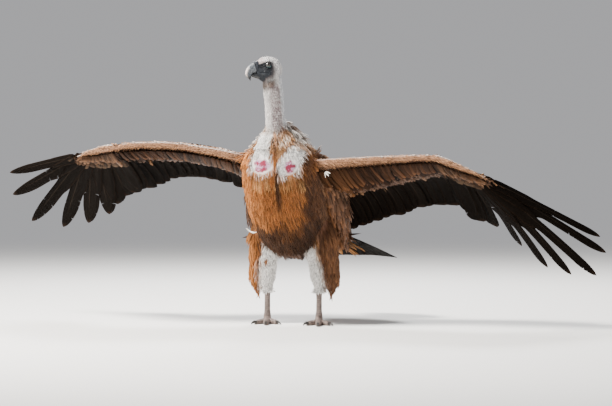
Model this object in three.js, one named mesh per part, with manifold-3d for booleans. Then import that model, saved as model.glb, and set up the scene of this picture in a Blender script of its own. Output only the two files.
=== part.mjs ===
// A griffon vulture standing with both wings spread, life size, in millimetres.
// The bird looks along -Y with its left side on +X, and both feet stand on z = 0.
import * as THREE from 'three';
import { mergeVertices } from 'three/addons/utils/BufferGeometryUtils.js';
import Module from 'manifold-3d';

// ---------- driving sizes ----------

const SEAM = 0.35;            // gap between two pieces that touch
const SLIVER = 0.05;          // a cut's crumbs and slivers thinner than this are closed up
const WING_GROW = 4;          // times that gap beside the wing's flesh, whose rear edge is thin
const HEAD_AT = [-18, -132, 939];   // midway between the eyes
const HEAD_YAW = 46;          // degrees that the bill is turned to the bird's right
const HEAD_PITCH = 3;         // degrees that the bill points down
const EYE_RADIUS = 10.5;
const EYE_SIDE = 25;          // eye centre from the middle plane of the skull
const EYE_AHEAD = 4;

const FOOT_SIDE = 100;        // foot centre from the middle plane of the bird
const FOOT_BACK = 95;         // foot centre behind the origin of the pose
const TOE_SINK = 2.5;         // depth of pad that the floor flattens
const MIDDLE_TOE = 98;
const SIDE_TOE = 70;
const HIND_TOE = 46;
const TOE_SPREAD = 34;        // degrees between the middle toe and a side toe
const FOOT_TURN = 17;         // degrees that both feet are turned to the bird's left

const VANE = 1.1;             // half thickness of the flight feathers along their middle
const VANE_EDGE = 0.45;       // half thickness of the flight feathers at their tips
const SHEET_GAP = 2.5;        // from the rear edge of the flesh to where the flight feathers begin
const PRIMARY_COUNT = 10;
const SECONDARY_COUNT = 19;
const TAIL_COUNT = 12;
const TAIL_AT = [10, 300, 360];     // root of the tail
const TAIL_LENGTH = 342;
const TAIL_TURN = 22;         // degrees that the tail is swung to the bird's left
const TAIL_DROP = 23;         // degrees that the tail hangs below the level
const TAIL_FAN = 36;          // degrees from the middle to an outer tail feather

// Primary feathers from the innermost, P1, to the outermost, P10.
const PRIMARY_LENGTH = [395, 415, 440, 475, 520, 570, 610, 625, 595, 530];
const PRIMARY_ROOT = [0.1, 0.22, 0.34, 0.45, 0.56, 0.67, 0.77, 0.86, 0.93, 1];
const FINGER_HALF = [20, 22, 24, 25, 25, 23, 22, 21, 19, 14];
const GAP_SHARE = [0.96, 0.96, 0.93, 0.86, 0.62, 0.56, 0.5, 0.47, 0.54];

// Each wing: the joints of its leading edge, and where its feathers point. Sweep is the angle from
// straight out to straight back, drop the angle below the level, in degrees, from body to wing tip.
const WINGS = {
  left: {
    side: 1,
    shoulder: [118, -55, 600],
    wrist: [600, -106, 622],
    arch: 4,
    handSweep: 22,
    handDrop: 24,
    secondarySweep: [85, 87, 90, 91, 94],
    secondaryDrop: [38, 33, 29, 25, 26],
    primarySweep: [92, 92, 91, 88, 78, 67, 60, 50, 49, 49],
    primaryDrop: [28, 29, 30, 29, 34, 39, 38, 36, 28, 24],
  },
  right: {
    side: -1,
    shoulder: [-118, -55, 608],
    wrist: [-568, -237, 652],
    arch: 26,
    handSweep: 28,
    handDrop: 12,
    secondarySweep: [86, 74, 78, 81, 85],
    secondaryDrop: [24, 17.5, 17.5, 18, 23],
    primarySweep: [86, 84, 81, 78, 75, 67, 58, 47, 40, 37],
    primaryDrop: [25, 25, 24.5, 26, 28, 29, 28.5, 25.5, 16.5, 9],
  },
};
const HAND_LENGTH = 200;
const SECONDARY_LENGTH = 440;

const COLOUR = {
  down: [0xe9e2d9, 0.9],
  face: [0x59616a, 0.8],
  horn: [0x6f7276, 0.45],
  eye: [0x1a1310, 0.15],
  plumage: [0x9a5a28, 0.85],
  lining: [0x6b452b, 0.85],
  flight: [0x17120f, 0.6],
  ruff: [0xdccfbf, 0.9],
  white: [0xf1ece4, 0.9],
  scale: [0x8d8681, 0.7],
  claw: [0x2a2725, 0.4],
};

// ---------- geometry helpers ----------

const vec = (x, y, z) => new THREE.Vector3(x, y, z);
const rad = THREE.MathUtils.degToRad;
const wasm = await Module();
wasm.setup();

// A closed skin through rings of equal length, with a fan on each end ring and its faces outward.
function loft(rings) {
  const sides = rings[0].length;
  const points = rings.flat();
  const faces = [];
  for (let r = 0; r + 1 < rings.length; r++) {
    for (let k = 0; k < sides; k++) {
      const a = r * sides + k;
      const b = r * sides + (k + 1) % sides;
      faces.push(a, b, b + sides, a, b + sides, a + sides);
    }
  }
  for (const [r, turn] of [[0, true], [rings.length - 1, false]]) {
    const middle = rings[r].reduce((sum, p) => sum.add(p), vec(0, 0, 0)).divideScalar(sides);
    points.push(middle);
    for (let k = 0; k < sides; k++) {
      const a = r * sides + k;
      const b = r * sides + (k + 1) % sides;
      faces.push(...(turn ? [points.length - 1, b, a] : [points.length - 1, a, b]));
    }
  }
  let volume = 0;
  for (let f = 0; f < faces.length; f += 3) {
    const [a, b, c] = [points[faces[f]], points[faces[f + 1]], points[faces[f + 2]]];
    volume += a.dot(vec(0, 0, 0).crossVectors(b, c));
  }
  if (volume < 0) faces.reverse();
  const geometry = new THREE.BufferGeometry();
  geometry.setAttribute('position', new THREE.Float32BufferAttribute(points.flatMap((p) => p.toArray()), 3));
  geometry.setIndex(faces);
  return geometry;
}

const solid = (geometry) => {
  for (const extra of ['normal', 'uv']) geometry.deleteAttribute(extra);
  const merged = mergeVertices(geometry);
  return new wasm.Manifold(new wasm.Mesh({
    numProp: 3,
    vertProperties: new Float32Array(merged.attributes.position.array),
    triVerts: new Uint32Array(merged.index.array),
  }));
};

const round = (angle) => [Math.cos(angle), Math.sin(angle)];

// A wing's section: blunt in front, at angle 0, and thin behind.
const winged = (angle) => {
  const ahead = (1 + Math.cos(angle)) / 2;
  return [Math.cos(angle), Math.sin(angle) * (0.3 + 0.7 * ahead ** 0.8)];
};

// A body swept through stations { at, size: [half width, half depth], across }, smoothed between
// them. grow makes it larger all round, to cut room for it in a neighbour.
function body(stations, { per = 3, sides = 16, shape = round, grow = 0 } = {}) {
  const path = new THREE.CatmullRomCurve3(stations.map((s) => vec(...s.at)));
  const size = new THREE.CatmullRomCurve3(stations.map((s) => vec(...s.size, 0)));
  const cross = new THREE.CatmullRomCurve3(stations.map((s) => vec(...(s.across ?? [1, 0, 0]))));
  const count = per * (stations.length - 1);
  const rings = [];
  for (let i = 0; i <= count; i++) {
    const u = i / count;
    const along = path.getTangent(u);
    const across = cross.getPoint(u);
    across.addScaledVector(along, -across.dot(along)).normalize();
    const deep = vec(0, 0, 0).crossVectors(along, across);
    const middle = path.getPoint(u);
    if (i === 0) middle.addScaledVector(along, -grow);
    if (i === count) middle.addScaledVector(along, grow);
    const half = size.getPoint(u);
    rings.push(Array.from({ length: sides }, (_, k) => {
      const [x, y] = shape((2 * Math.PI * k) / sides);
      return middle.clone().addScaledVector(across, x * (half.x + grow))
        .addScaledVector(deep, y * (half.y + grow));
    }));
  }
  return solid(loft(rings));
}

// Unit direction of a feather: sweep from straight out to straight back, drop below the level.
function pointing(side, sweep, drop) {
  const level = Math.cos(rad(drop));
  return vec(side * Math.cos(rad(sweep)) * level, Math.sin(rad(sweep)) * level, -Math.sin(rad(drop)));
}

// The value at u, from 0 to 1, of a row of evenly spaced values.
function between(values, u) {
  const place = THREE.MathUtils.clamp(u, 0, 1) * (values.length - 1);
  const low = Math.min(Math.floor(place), values.length - 2);
  return THREE.MathUtils.lerp(values[low], values[low + 1], place - low);
}

// ---------- head ----------

const headTurn = new THREE.Matrix4().makeRotationZ(rad(-90 - HEAD_YAW))
  .multiply(new THREE.Matrix4().makeRotationY(rad(HEAD_PITCH)))
  .setPosition(...HEAD_AT);
// A point of the head: distance ahead of the eyes, to the head's left, and above the eyes.
const inHead = (ahead, left, up) => vec(ahead, left, up).applyMatrix4(headTurn).toArray();
const headLeft = vec(0, 1, 0).transformDirection(headTurn).toArray();

// A station of the head or bill: distance ahead, highest and lowest point, and half width.
const slice = (ahead, top, bottom, half) => ({
  at: inHead(ahead, 0, (top + bottom) / 2),
  size: [half, (top - bottom) / 2],
  across: headLeft,
});

const skull = (grow) => body([
  slice(-57, -6, -26, 9),
  slice(-51, 9, -42, 21),
  slice(-38, 22, -56, 30),
  slice(-20, 29, -64, 34),
  slice(0, 31, -64, 34.5),
  slice(15, 29, -61, 30),
  slice(28, 23, -53, 23),
  slice(40, 16, -46, 16.5),
  slice(45, 11, -40, 12),
], { per: 1, sides: 14, grow });

const upperBill = (grow) => body([
  slice(30, 12, -24, 12),
  slice(39, 14, -27, 15),
  slice(50, 9, -28, 12.5),
  slice(59, 2, -30, 10.5),
  slice(66, -7, -35, 8.5),
  slice(67.5, -18, -43, 6),
  slice(65, -43, -51, 1.5),
], { per: 1, sides: 12, grow });

const lowerBill = (grow) => body([
  slice(26, -26, -49, 12.5),
  slice(37, -25, -47, 12),
  slice(49, -25, -44, 10),
  slice(60, -27, -40, 6.5),
], { per: 1, sides: 10, grow });

const eye = (side) => (grow) => {
  const ball = new THREE.SphereGeometry(EYE_RADIUS + grow, 12, 8);
  ball.translate(...inHead(EYE_AHEAD, side * EYE_SIDE, 0));
  return solid(ball);
};

// ---------- neck and trunk ----------

const neck = (grow) => body([
  { at: inHead(-27, 0, -14), size: [27, 28] },
  { at: [-4, -117, 890], size: [36, 40] },
  { at: [-1, -112, 855], size: [35, 37] },
  { at: [0, -101, 805], size: [35, 37] },
  { at: [0, -90, 755], size: [36, 39] },
  { at: [0, -78, 705], size: [40, 43] },
  { at: [0, -74, 668], size: [44, 46] },
], { per: 1, sides: 14, grow });

const trunk = (grow) => body([
  { at: [0, -84, 686], size: [46, 44] },
  { at: [0, -80, 664], size: [86, 70] },
  { at: [0, -66, 618], size: [128, 96] },
  { at: [0, -36, 556], size: [146, 126] },
  { at: [0, 24, 474], size: [152, 152] },
  { at: [0, 100, 400], size: [150, 158] },
  { at: [2, 172, 366], size: [126, 134] },
  { at: [5, 246, 356], size: [86, 82] },
  { at: [10, 292, 350], size: [46, 38] },
], { per: 2, sides: 14, grow });

const ruff = (grow) => body([
  { at: [0, -74, 732], size: [43, 45] },
  { at: [0, -68, 712], size: [55, 58] },
  { at: [0, -60, 686], size: [80, 80] },
  { at: [0, -56, 655], size: [105, 100] },
  { at: [0, -56, 630], size: [106, 98] },
], { per: 1, sides: 14, grow });

const flank = (side) => (grow) => body([
  { at: [side * 132, 24, 566], size: [14, 30] },
  { at: [side * 150, 78, 500], size: [27, 52] },
  { at: [side * 163, 130, 430], size: [32, 60] },
  { at: [side * 165, 170, 366], size: [28, 50] },
  { at: [side * 158, 190, 316], size: [13, 24] },
], { per: 1, sides: 10, grow });

// The long feathers of the shoulder, which close the gap between the back and the inner wing.
const scapulars = (side) => (grow) => body([
  { at: [side * 96, 20, 622], size: [34, 18] },
  { at: [side * 112, 82, 576], size: [56, 26] },
  { at: [side * 120, 150, 520], size: [58, 24] },
  { at: [side * 118, 218, 458], size: [46, 17] },
  { at: [side * 112, 285, 396], size: [22, 7] },
], { per: 1, sides: 10, grow });

// ---------- wings ----------

// The leading edge at reach 0 (shoulder) to 1 (wrist) to 2 (end of the hand).
function leadingEdge(wing, reach) {
  const shoulder = vec(...wing.shoulder);
  const wrist = vec(...wing.wrist);
  const arch = wing.arch * 4 * Math.max(0, reach) * (1 - reach);
  if (reach <= 1) return shoulder.lerp(wrist, reach).add(vec(0, 0, arch));
  return wrist.addScaledVector(handDirection(wing), HAND_LENGTH * (reach - 1));
}

const handDirection = (wing) => pointing(wing.side, wing.handSweep, wing.handDrop);

const armDirection = (wing) => vec(...wing.wrist).sub(vec(...wing.shoulder)).normalize();

// Where the feathers of the arm and hand point at a reach from 0 to 2.
function featherDirection(wing, reach) {
  if (reach <= 1) {
    return pointing(wing.side, between(wing.secondarySweep, reach), between(wing.secondaryDrop, reach));
  }
  const first = PRIMARY_ROOT[0];
  const place = Math.max(0, reach - 1 - first) / (1 - first);
  return pointing(wing.side, between(wing.primarySweep, place), between(wing.primaryDrop, place));
}

// The upper side of the wing at a reach.
const wingNormal = (wing, reach) => vec(0, 0, 0)
  .crossVectors(reach > 1 ? handDirection(wing) : armDirection(wing), featherDirection(wing, reach))
  .normalize().multiplyScalar(wing.side);

// From the shoulder to the wrist and from the wrist to the end of the hand, evenly spaced.
const along = (arm, hand) => (reach) => (reach <= 1 ? between(arm, reach) : between(hand, reach - 1));
const wingChord = along([218, 216, 205, 186, 142], [142, 112, 88, 62, 30]);
const wingThickness = along([60, 52, 46, 41, 37], [37, 32, 26, 20, 13]);

// One station of the fleshy front of the wing, clad in small feathers.
function wingStation(wing, reach) {
  const back = featherDirection(wing, Math.min(reach, 1.3));
  const half = wingChord(reach) / 2;
  return {
    at: leadingEdge(wing, reach).addScaledVector(back, half).toArray(),
    size: [half, wingThickness(reach) / 2],
    across: back.clone().negate().toArray(),
  };
}

const wingBlock = (...reaches) => (wing) => (grow) => body(
  reaches.map((reach) => wingStation(wing, reach)),
  { per: 1, sides: 12, shape: winged, grow: WING_GROW * grow },
);
const upperArm = wingBlock(-0.1, 0.05, 0.25, 0.5);
const forearm = wingBlock(0.5, 0.68, 0.86, 1);
const hand = wingBlock(1, 1.2, 1.6, 1.9, 2.05);

// The small feathered thumb that lies along the front of the hand.
const thumb = (wing) => (grow) => {
  const edge = (reach, ahead) => leadingEdge(wing, reach)
    .addScaledVector(featherDirection(wing, 1.2), -ahead).toArray();
  const across = featherDirection(wing, 1.2).toArray();
  return body([
    { at: edge(1.04, 0), size: [6, 5], across },
    { at: edge(1.3, 3), size: [15, 6], across },
    { at: edge(1.8, 1), size: [14, 4], across },
    { at: edge(2, -2), size: [4, 2], across },
  ], { per: 1, sides: 8, grow });
};

// A thin sheet through sections { root, tip, normal, bow }: straight from root to tip but for
// its middle, which rises by bow along the normal.
function vaneSheet(sections) {
  return solid(loft(sections.map(({ root, tip, normal, bow }) => {
    const point = (u, off) => root.clone().lerp(tip, u)
      .addScaledVector(normal, bow * 4 * u * (1 - u) + off);
    return [
      point(0, VANE), point(0.5, VANE), point(1, VANE_EDGE),
      point(1, -VANE_EDGE), point(0.5, -VANE), point(0, -VANE),
    ];
  })));
}

// The arm's row of flight feathers: one sheet whose rear edge is cut into feather tips.
const secondaries = (wing) => () => {
  const sections = [];
  const first = -0.16;
  const last = 0.992;
  const steps = 2 * SECONDARY_COUNT;
  for (let i = 0; i <= steps; i++) {
    const reach = THREE.MathUtils.lerp(first, last, i / steps);
    const back = featherDirection(wing, reach);
    const notch = i % 2 === 0 ? 14 : 0;
    const inner = 60 * Math.max(0, 1 - i / 6) ** 2;
    const root = leadingEdge(wing, reach).addScaledVector(back, wingChord(reach) + SHEET_GAP);
    const tip = leadingEdge(wing, reach).addScaledVector(back, SECONDARY_LENGTH - notch - inner);
    sections.push({ root, tip, normal: wingNormal(wing, reach), bow: 22 });
  }
  return vaneSheet(sections);
};

const primaryDirection = (wing, index) => pointing(
  wing.side, wing.primarySweep[index], wing.primaryDrop[index]);

// A point on the shaft of a primary, at a share of its length.
const onShaft = (wing, index, share) => leadingEdge(wing, 1 + PRIMARY_ROOT[index])
  .addScaledVector(primaryDirection(wing, index), PRIMARY_LENGTH[index] * share);

// The upper side of the spread fan of primaries, at one of them.
function fanNormal(wing, index) {
  const outward = onShaft(wing, Math.min(index + 1, PRIMARY_COUNT - 1), 0.9)
    .sub(onShaft(wing, Math.max(index - 1, 0), 0.9));
  return outward.cross(primaryDirection(wing, index)).normalize().multiplyScalar(wing.side);
}

// A point of a primary's blade: a share of its length from the root, and a distance outward.
function onPrimary(wing, index, share, outward) {
  const across = vec(0, 0, 0).crossVectors(primaryDirection(wing, index), fanNormal(wing, index));
  return onShaft(wing, index, share).addScaledVector(across, wing.side * outward);
}

// Distance from near the tip of one primary to the shaft of another.
const room = (wing, index, other) => onShaft(wing, index, 0.93)
  .sub(leadingEdge(wing, 1 + PRIMARY_ROOT[other])).cross(primaryDirection(wing, other)).length();

// The hand's flight feathers: one sheet whose outer edge is cut into ten fingers, each no wider
// than the space it has. Between the tips the sheet is cut back to GAP_SHARE of the length of the
// feathers on either side.
const primaries = (wing) => () => {
  const sections = [];
  const section = (index, tip) => sections.push({
    root: leadingEdge(wing, 1 + PRIMARY_ROOT[index]).addScaledVector(
      primaryDirection(wing, index), wingChord(1 + PRIMARY_ROOT[index]) + SHEET_GAP),
    tip,
    normal: fanNormal(wing, index),
    bow: 0,
  });
  const inner = (length) => leadingEdge(wing, 1.006)
    .addScaledVector(featherDirection(wing, 1), length);
  sections.push({
    root: inner(wingChord(1) + SHEET_GAP), tip: inner(412), normal: wingNormal(wing, 1), bow: 16,
  });
  for (let index = 0; index < PRIMARY_COUNT; index++) {
    const half = (other) => Math.min(FINGER_HALF[index], 0.36 * room(wing, index, other));
    if (index > 0) section(index, onPrimary(wing, index, 0.94, -half(index - 1)));
    section(index, onPrimary(wing, index, 1, 0));
    if (index + 1 < PRIMARY_COUNT) {
      section(index, onPrimary(wing, index, 0.93, half(index + 1) * 0.8));
      const gap = onShaft(wing, index, GAP_SHARE[index]);
      section(index, gap.lerp(onShaft(wing, index + 1, GAP_SHARE[index]), 0.5));
    }
  }
  section(PRIMARY_COUNT - 1, onPrimary(wing, PRIMARY_COUNT - 1, 0.93, 11));
  section(PRIMARY_COUNT - 1, onPrimary(wing, PRIMARY_COUNT - 1, 0.5, 16));
  return vaneSheet(sections);
};

// ---------- tail ----------

// Direction of a tail feather that is swung so many degrees from the middle of the tail.
const tailDirection = (swing) => pointing(1, 90 - TAIL_TURN - swing, TAIL_DROP);

const tailRoot = (grow) => {
  const at = (ahead) => vec(...TAIL_AT).addScaledVector(tailDirection(0), ahead).toArray();
  const across = tailDirection(90).setZ(0).toArray();
  return body([
    { at: at(-70), size: [60, 44], across },
    { at: at(-20), size: [66, 42], across },
    { at: at(40), size: [64, 30], across },
    { at: at(100), size: [56, 17], across },
    { at: at(140), size: [34, 6], across },
  ], { per: 1, sides: 14, grow });
};

const tailFan = () => {
  const steps = 2 * TAIL_COUNT;
  const sections = [];
  for (let i = 0; i <= steps; i++) {
    const along = tailDirection(THREE.MathUtils.lerp(-TAIL_FAN, TAIL_FAN, i / steps));
    const notch = i % 2 === 0 ? 16 : 0;
    const root = vec(...TAIL_AT).addScaledVector(along, 20);
    const tip = vec(...TAIL_AT).addScaledVector(along, TAIL_LENGTH - notch);
    sections.push({ root, tip, normal: vec(0, 0, 1), bow: 6 });
  }
  return vaneSheet(sections);
};

// ---------- legs ----------

const footAt = (side) => vec(side * FOOT_SIDE, FOOT_BACK, 0);

const thigh = (side) => (grow) => body([
  { at: [side * 98, 98, 392], size: [44, 60] },
  { at: [side * 118, 98, 330], size: [48, 66] },
  { at: [side * 133, 100, 260], size: [38, 54] },
  { at: [side * 142, 106, 190], size: [31, 42] },
  { at: [side * 144, 110, 130], size: [21, 28] },
  { at: [side * 140, 112, 94], size: [7, 10] },
], { per: 1, sides: 12, grow });

const shank = (side) => (grow) => body([
  { at: [side * 76, 84, 345], size: [34, 40] },
  { at: [side * 84, 86, 290], size: [37, 42] },
  { at: [side * 93, 90, 230], size: [36, 40] },
  { at: [side * 98, 94, 170], size: [33, 35] },
  { at: [side * 100, 96, 128], size: [21, 22] },
  { at: [side * 100, 96, 112], size: [13, 14] },
], { per: 1, sides: 12, grow });

const tarsus = (side) => (grow) => body([
  { at: [side * 100, 96, 135], size: [10, 12] },
  { at: [side * 100, 96, 90], size: [9, 11] },
  { at: [side * 100, 95, 50], size: [9.5, 11.5] },
  { at: [side * 100, 94, 24], size: [13, 14] },
  { at: [side * 100, 92, 9], size: [12, 13] },
], { per: 1, sides: 10, grow });

// The toes of one foot: heading in degrees from straight ahead to the outside, length, thickness.
const TOES = {
  middle: [0, MIDDLE_TOE, 10.5],
  inner: [-TOE_SPREAD, SIDE_TOE, 9.5],
  outer: [TOE_SPREAD, SIDE_TOE, 9],
  hind: [172, HIND_TOE, 9.5],
};

function toeDirection(side, heading) {
  const turn = rad(side * heading + FOOT_TURN);
  return vec(Math.sin(turn), -Math.cos(turn), 0);
}

function toe(side, [heading, length, thick]) {
  const along = toeDirection(side, heading);
  const at = (u, up) => footAt(side).addScaledVector(along, length * u).setZ(up).toArray();
  const across = [along.y, -along.x, 0];
  const pad = thick - TOE_SINK;
  return body([
    { at: at(0, 15), size: [thick, thick * 0.9], across },
    { at: at(0.4, pad + 2), size: [thick, thick], across },
    { at: at(0.8, pad), size: [thick * 0.92, thick], across },
    { at: at(1, pad - 1), size: [thick * 0.6, thick * 0.62], across },
  ], { per: 1, sides: 8 });
}

const underFloor = () => {
  const slab = new THREE.BoxGeometry(800, 800, 60);
  slab.translate(0, 0, -30);
  return solid(slab);
};

const foot = (side) => () => Object.values(TOES).map((shape) => toe(side, shape))
  .reduce((all, one) => all.add(one)).subtract(underFloor());

const claw = (side, name) => (grow) => {
  const [heading, length, thick] = TOES[name];
  const along = toeDirection(side, heading);
  const at = (ahead, up) => footAt(side).addScaledVector(along, length + ahead).setZ(up).toArray();
  const across = [along.y, -along.x, 0];
  return body([
    { at: at(-7, thick * 0.75), size: [5, 5.5], across },
    { at: at(6, thick * 1.1), size: [4.6, 5.2], across },
    { at: at(18, thick * 0.85), size: [3.4, 4], across },
    { at: at(27, 2.2), size: [1.1, 1.3], across },
  ], { per: 1, sides: 6, grow });
};

// ---------- assembly ----------

const griffon = new THREE.Group();
griffon.name = 'griffon_vulture';
const blocks = [];

// Adds a piece, cut back by SEAM from every block before it that reaches into it. Of what is
// left, the largest piece is kept, without its slivers: the cut can leave crumbs beyond a neighbour.
function addTrimmed(name, [colour, roughness], make) {
  let shape = make(0);
  for (const block of blocks) shape = shape.subtract(block(SEAM));
  const largest = shape.decompose().reduce((a, b) => (a.volume() > b.volume() ? a : b));
  const mesh = largest.simplify(SLIVER).getMesh();
  const geometry = new THREE.BufferGeometry();
  geometry.setAttribute('position', new THREE.BufferAttribute(mesh.vertProperties, mesh.numProp));
  geometry.setIndex(new THREE.BufferAttribute(mesh.triVerts, 1));
  const piece = new THREE.Mesh(geometry, new THREE.MeshStandardMaterial({ color: colour, roughness }));
  piece.name = name;
  griffon.add(piece);
}

// Adds a block, which the pieces after it make room for.
function addBlock(name, finish, make) {
  addTrimmed(name, finish, make);
  blocks.push(make);
}

const sides = Object.entries(WINGS);
for (const [name, { side }] of sides) addBlock(`eye_${name}`, COLOUR.eye, eye(side));
addBlock('bill_upper', COLOUR.horn, upperBill);
addBlock('bill_lower', COLOUR.horn, lowerBill);
addBlock('head', COLOUR.face, skull);
addBlock('neck', COLOUR.down, neck);
addBlock('trunk', COLOUR.plumage, trunk);
addBlock('ruff', COLOUR.ruff, ruff);
addBlock('tail_root', COLOUR.lining, tailRoot);
for (const [name, wing] of sides) {
  addBlock(`upper_arm_${name}`, COLOUR.lining, upperArm(wing));
  addBlock(`forearm_${name}`, COLOUR.lining, forearm(wing));
  addBlock(`hand_${name}`, COLOUR.lining, hand(wing));
  addBlock(`thumb_${name}`, COLOUR.lining, thumb(wing));
  addBlock(`scapulars_${name}`, COLOUR.plumage, scapulars(wing.side));
  addBlock(`flank_${name}`, COLOUR.plumage, flank(wing.side));
  addBlock(`tarsus_${name}`, COLOUR.scale, tarsus(wing.side));
  addBlock(`shank_${name}`, COLOUR.white, shank(wing.side));
  addBlock(`thigh_${name}`, COLOUR.plumage, thigh(wing.side));
  for (const toeName of Object.keys(TOES)) {
    addBlock(`claw_${toeName}_${name}`, COLOUR.claw, claw(wing.side, toeName));
  }
}
for (const [name, wing] of sides) {
  addTrimmed(`foot_${name}`, COLOUR.scale, foot(wing.side));
  addTrimmed(`secondaries_${name}`, COLOUR.flight, secondaries(wing));
  addTrimmed(`primaries_${name}`, COLOUR.flight, primaries(wing));
}
addTrimmed('tail_feathers', COLOUR.flight, tailFan);

// The origin is on the floor, under the middle of the whole bird.
const whole = new THREE.Box3().setFromObject(griffon);
const middle = whole.getCenter(vec(0, 0, 0)).setZ(whole.min.z);
for (const piece of griffon.children) piece.geometry.translate(-middle.x, -middle.y, -middle.z);

export default griffon;
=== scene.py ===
import math

import bmesh
import bpy
import numpy as np
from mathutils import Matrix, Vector, kdtree, noise
from mathutils.bvhtree import BVHTree


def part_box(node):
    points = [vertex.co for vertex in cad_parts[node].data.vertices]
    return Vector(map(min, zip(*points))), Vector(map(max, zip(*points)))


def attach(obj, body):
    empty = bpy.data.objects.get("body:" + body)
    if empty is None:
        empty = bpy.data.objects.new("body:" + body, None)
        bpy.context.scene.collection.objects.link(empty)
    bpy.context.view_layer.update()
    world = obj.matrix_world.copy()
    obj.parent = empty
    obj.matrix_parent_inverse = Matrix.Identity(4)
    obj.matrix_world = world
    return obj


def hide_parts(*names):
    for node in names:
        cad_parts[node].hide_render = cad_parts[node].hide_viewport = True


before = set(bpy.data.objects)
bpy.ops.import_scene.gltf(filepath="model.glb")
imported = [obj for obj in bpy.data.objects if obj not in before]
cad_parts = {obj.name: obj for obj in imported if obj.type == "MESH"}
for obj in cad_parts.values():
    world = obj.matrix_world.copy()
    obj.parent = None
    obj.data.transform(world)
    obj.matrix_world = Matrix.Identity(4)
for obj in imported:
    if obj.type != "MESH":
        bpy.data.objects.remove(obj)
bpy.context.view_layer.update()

# ---------------------------------------------------------------------------------------------
# Head place. The skull, the eyes and the bill are laid out from a point midway between the eyes,
# along three directions of the head: ahead, to its left, and up. The bird itself looks along -Y.

EYE_SIDE, EYE_AHEAD, EYE_RADIUS = 0.025, 0.004, 0.0105
HEAD_YAW, HEAD_PITCH = math.radians(46), math.radians(3)

head_ahead = np.array([
    -math.sin(HEAD_YAW) * math.cos(HEAD_PITCH), -math.cos(HEAD_YAW) * math.cos(HEAD_PITCH),
    -math.sin(HEAD_PITCH)])
head_left = np.array([math.cos(HEAD_YAW), -math.sin(HEAD_YAW), 0.0])
head_up = np.cross(head_ahead, head_left)
eye_centres = {side: np.mean(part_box(f"eye_{side}"), axis=0) for side in ("left", "right")}
head_middle = np.mean(list(eye_centres.values()), axis=0) - EYE_AHEAD * head_ahead
# The body's own middle plane and origin, from where the eyes sit on it.
HEAD_FROM_ORIGIN = np.array([-0.018, -0.132, 0.939])
body_origin = head_middle - HEAD_FROM_ORIGIN
UP = np.array([0, 0, 1.0])


def in_head(ahead, left, up):
    return (head_middle + np.multiply.outer(ahead, head_ahead)
            + np.multiply.outer(left, head_left) + np.multiply.outer(up, head_up))


# ---------------------------------------------------------------------------------------------
# Wing lines. A wing is a leading edge from shoulder to wrist to the end of the hand, reach 0 to
# 1 to 2 along it, with feathers that point back and down from it by angles that change outward.

SIDES = {"left": 1, "right": -1}
WINGS = {
    "left": {
        "shoulder": (0.118, -0.055, 0.600), "wrist": (0.600, -0.106, 0.622), "arch": 0.004,
        "hand": (22, 24),
        "secondary_sweep": (85, 87, 90, 91, 94), "secondary_drop": (38, 33, 29, 25, 26),
        "primary_sweep": (92, 92, 91, 88, 78, 67, 60, 50, 49, 49),
        "primary_drop": (28, 29, 30, 29, 34, 39, 38, 36, 28, 24), "tip_bend": -0.009,
    },
    "right": {
        "shoulder": (-0.118, -0.055, 0.608), "wrist": (-0.568, -0.237, 0.652), "arch": 0.026,
        "hand": (28, 12),
        "secondary_sweep": (86, 74, 78, 81, 85), "secondary_drop": (24, 17.5, 17.5, 18, 23),
        "primary_sweep": (86, 84, 81, 78, 75, 67, 58, 47, 40, 37),
        "primary_drop": (25, 25, 24.5, 26, 28, 29, 28.5, 25.5, 16.5, 9), "tip_bend": 0.004,
    },
}
HAND_LENGTH = 0.200
PRIMARY_LENGTH = np.array([0.395, 0.415, 0.440, 0.475, 0.520, 0.570, 0.610, 0.625, 0.595, 0.530])
PRIMARY_ROOT = np.array([0.1, 0.22, 0.34, 0.45, 0.56, 0.67, 0.77, 0.86, 0.93, 1.0])
SECONDARY_LENGTH = 0.440


def unit(vectors):
    return vectors / np.maximum(np.linalg.norm(vectors, axis=-1, keepdims=True), 1e-9)


def pointing(side, sweep, drop):
    sweep, drop = np.broadcast_arrays(np.radians(sweep), np.radians(drop))
    return np.stack([SIDES[side] * np.cos(sweep) * np.cos(drop), np.sin(sweep) * np.cos(drop),
                     -np.sin(drop)], axis=-1)


def evenly(values, place):
    return np.interp(place, np.linspace(0, 1, len(values)), values)


def along_wing(reach, arm, hand):
    return np.where(reach <= 1, evenly(arm, reach), evenly(hand, np.subtract(reach, 1)))


def arm_way(side):
    return unit(np.subtract(WINGS[side]["wrist"], WINGS[side]["shoulder"]))


def hand_way(side):
    return pointing(side, *WINGS[side]["hand"])


def outward(side, reach):
    return np.where(np.greater(reach, 1)[..., None], hand_way(side), arm_way(side))


def leading_edge(side, reach):
    wing, reach = WINGS[side], np.asarray(reach, float)[..., None]
    shoulder, wrist = np.array(wing["shoulder"]), np.array(wing["wrist"])
    arm = shoulder + (wrist - shoulder) * reach
    arm = arm + UP * wing["arch"] * 4 * np.maximum(0, reach) * (1 - reach)
    hand = wrist + hand_way(side) * HAND_LENGTH * (reach - 1)
    return body_origin + np.where(reach <= 1, arm, hand)


def feather_way(side, reach):
    wing, reach = WINGS[side], np.asarray(reach, float)
    place = np.maximum(0, reach - 1 - PRIMARY_ROOT[0]) / (1 - PRIMARY_ROOT[0])
    on_arm, on_hand = (
        pointing(side, evenly(wing[row + "_sweep"], at), evenly(wing[row + "_drop"], at))
        for row, at in (("secondary", reach), ("primary", place)))
    return np.where((reach <= 1)[..., None], on_arm, on_hand)


def wing_up(side, reach):
    return SIDES[side] * unit(np.cross(outward(side, reach), feather_way(side, reach)))


def wing_chord(reach):
    return along_wing(reach, (0.218, 0.216, 0.205, 0.186, 0.142),
                      (0.142, 0.112, 0.088, 0.062, 0.030))


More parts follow.
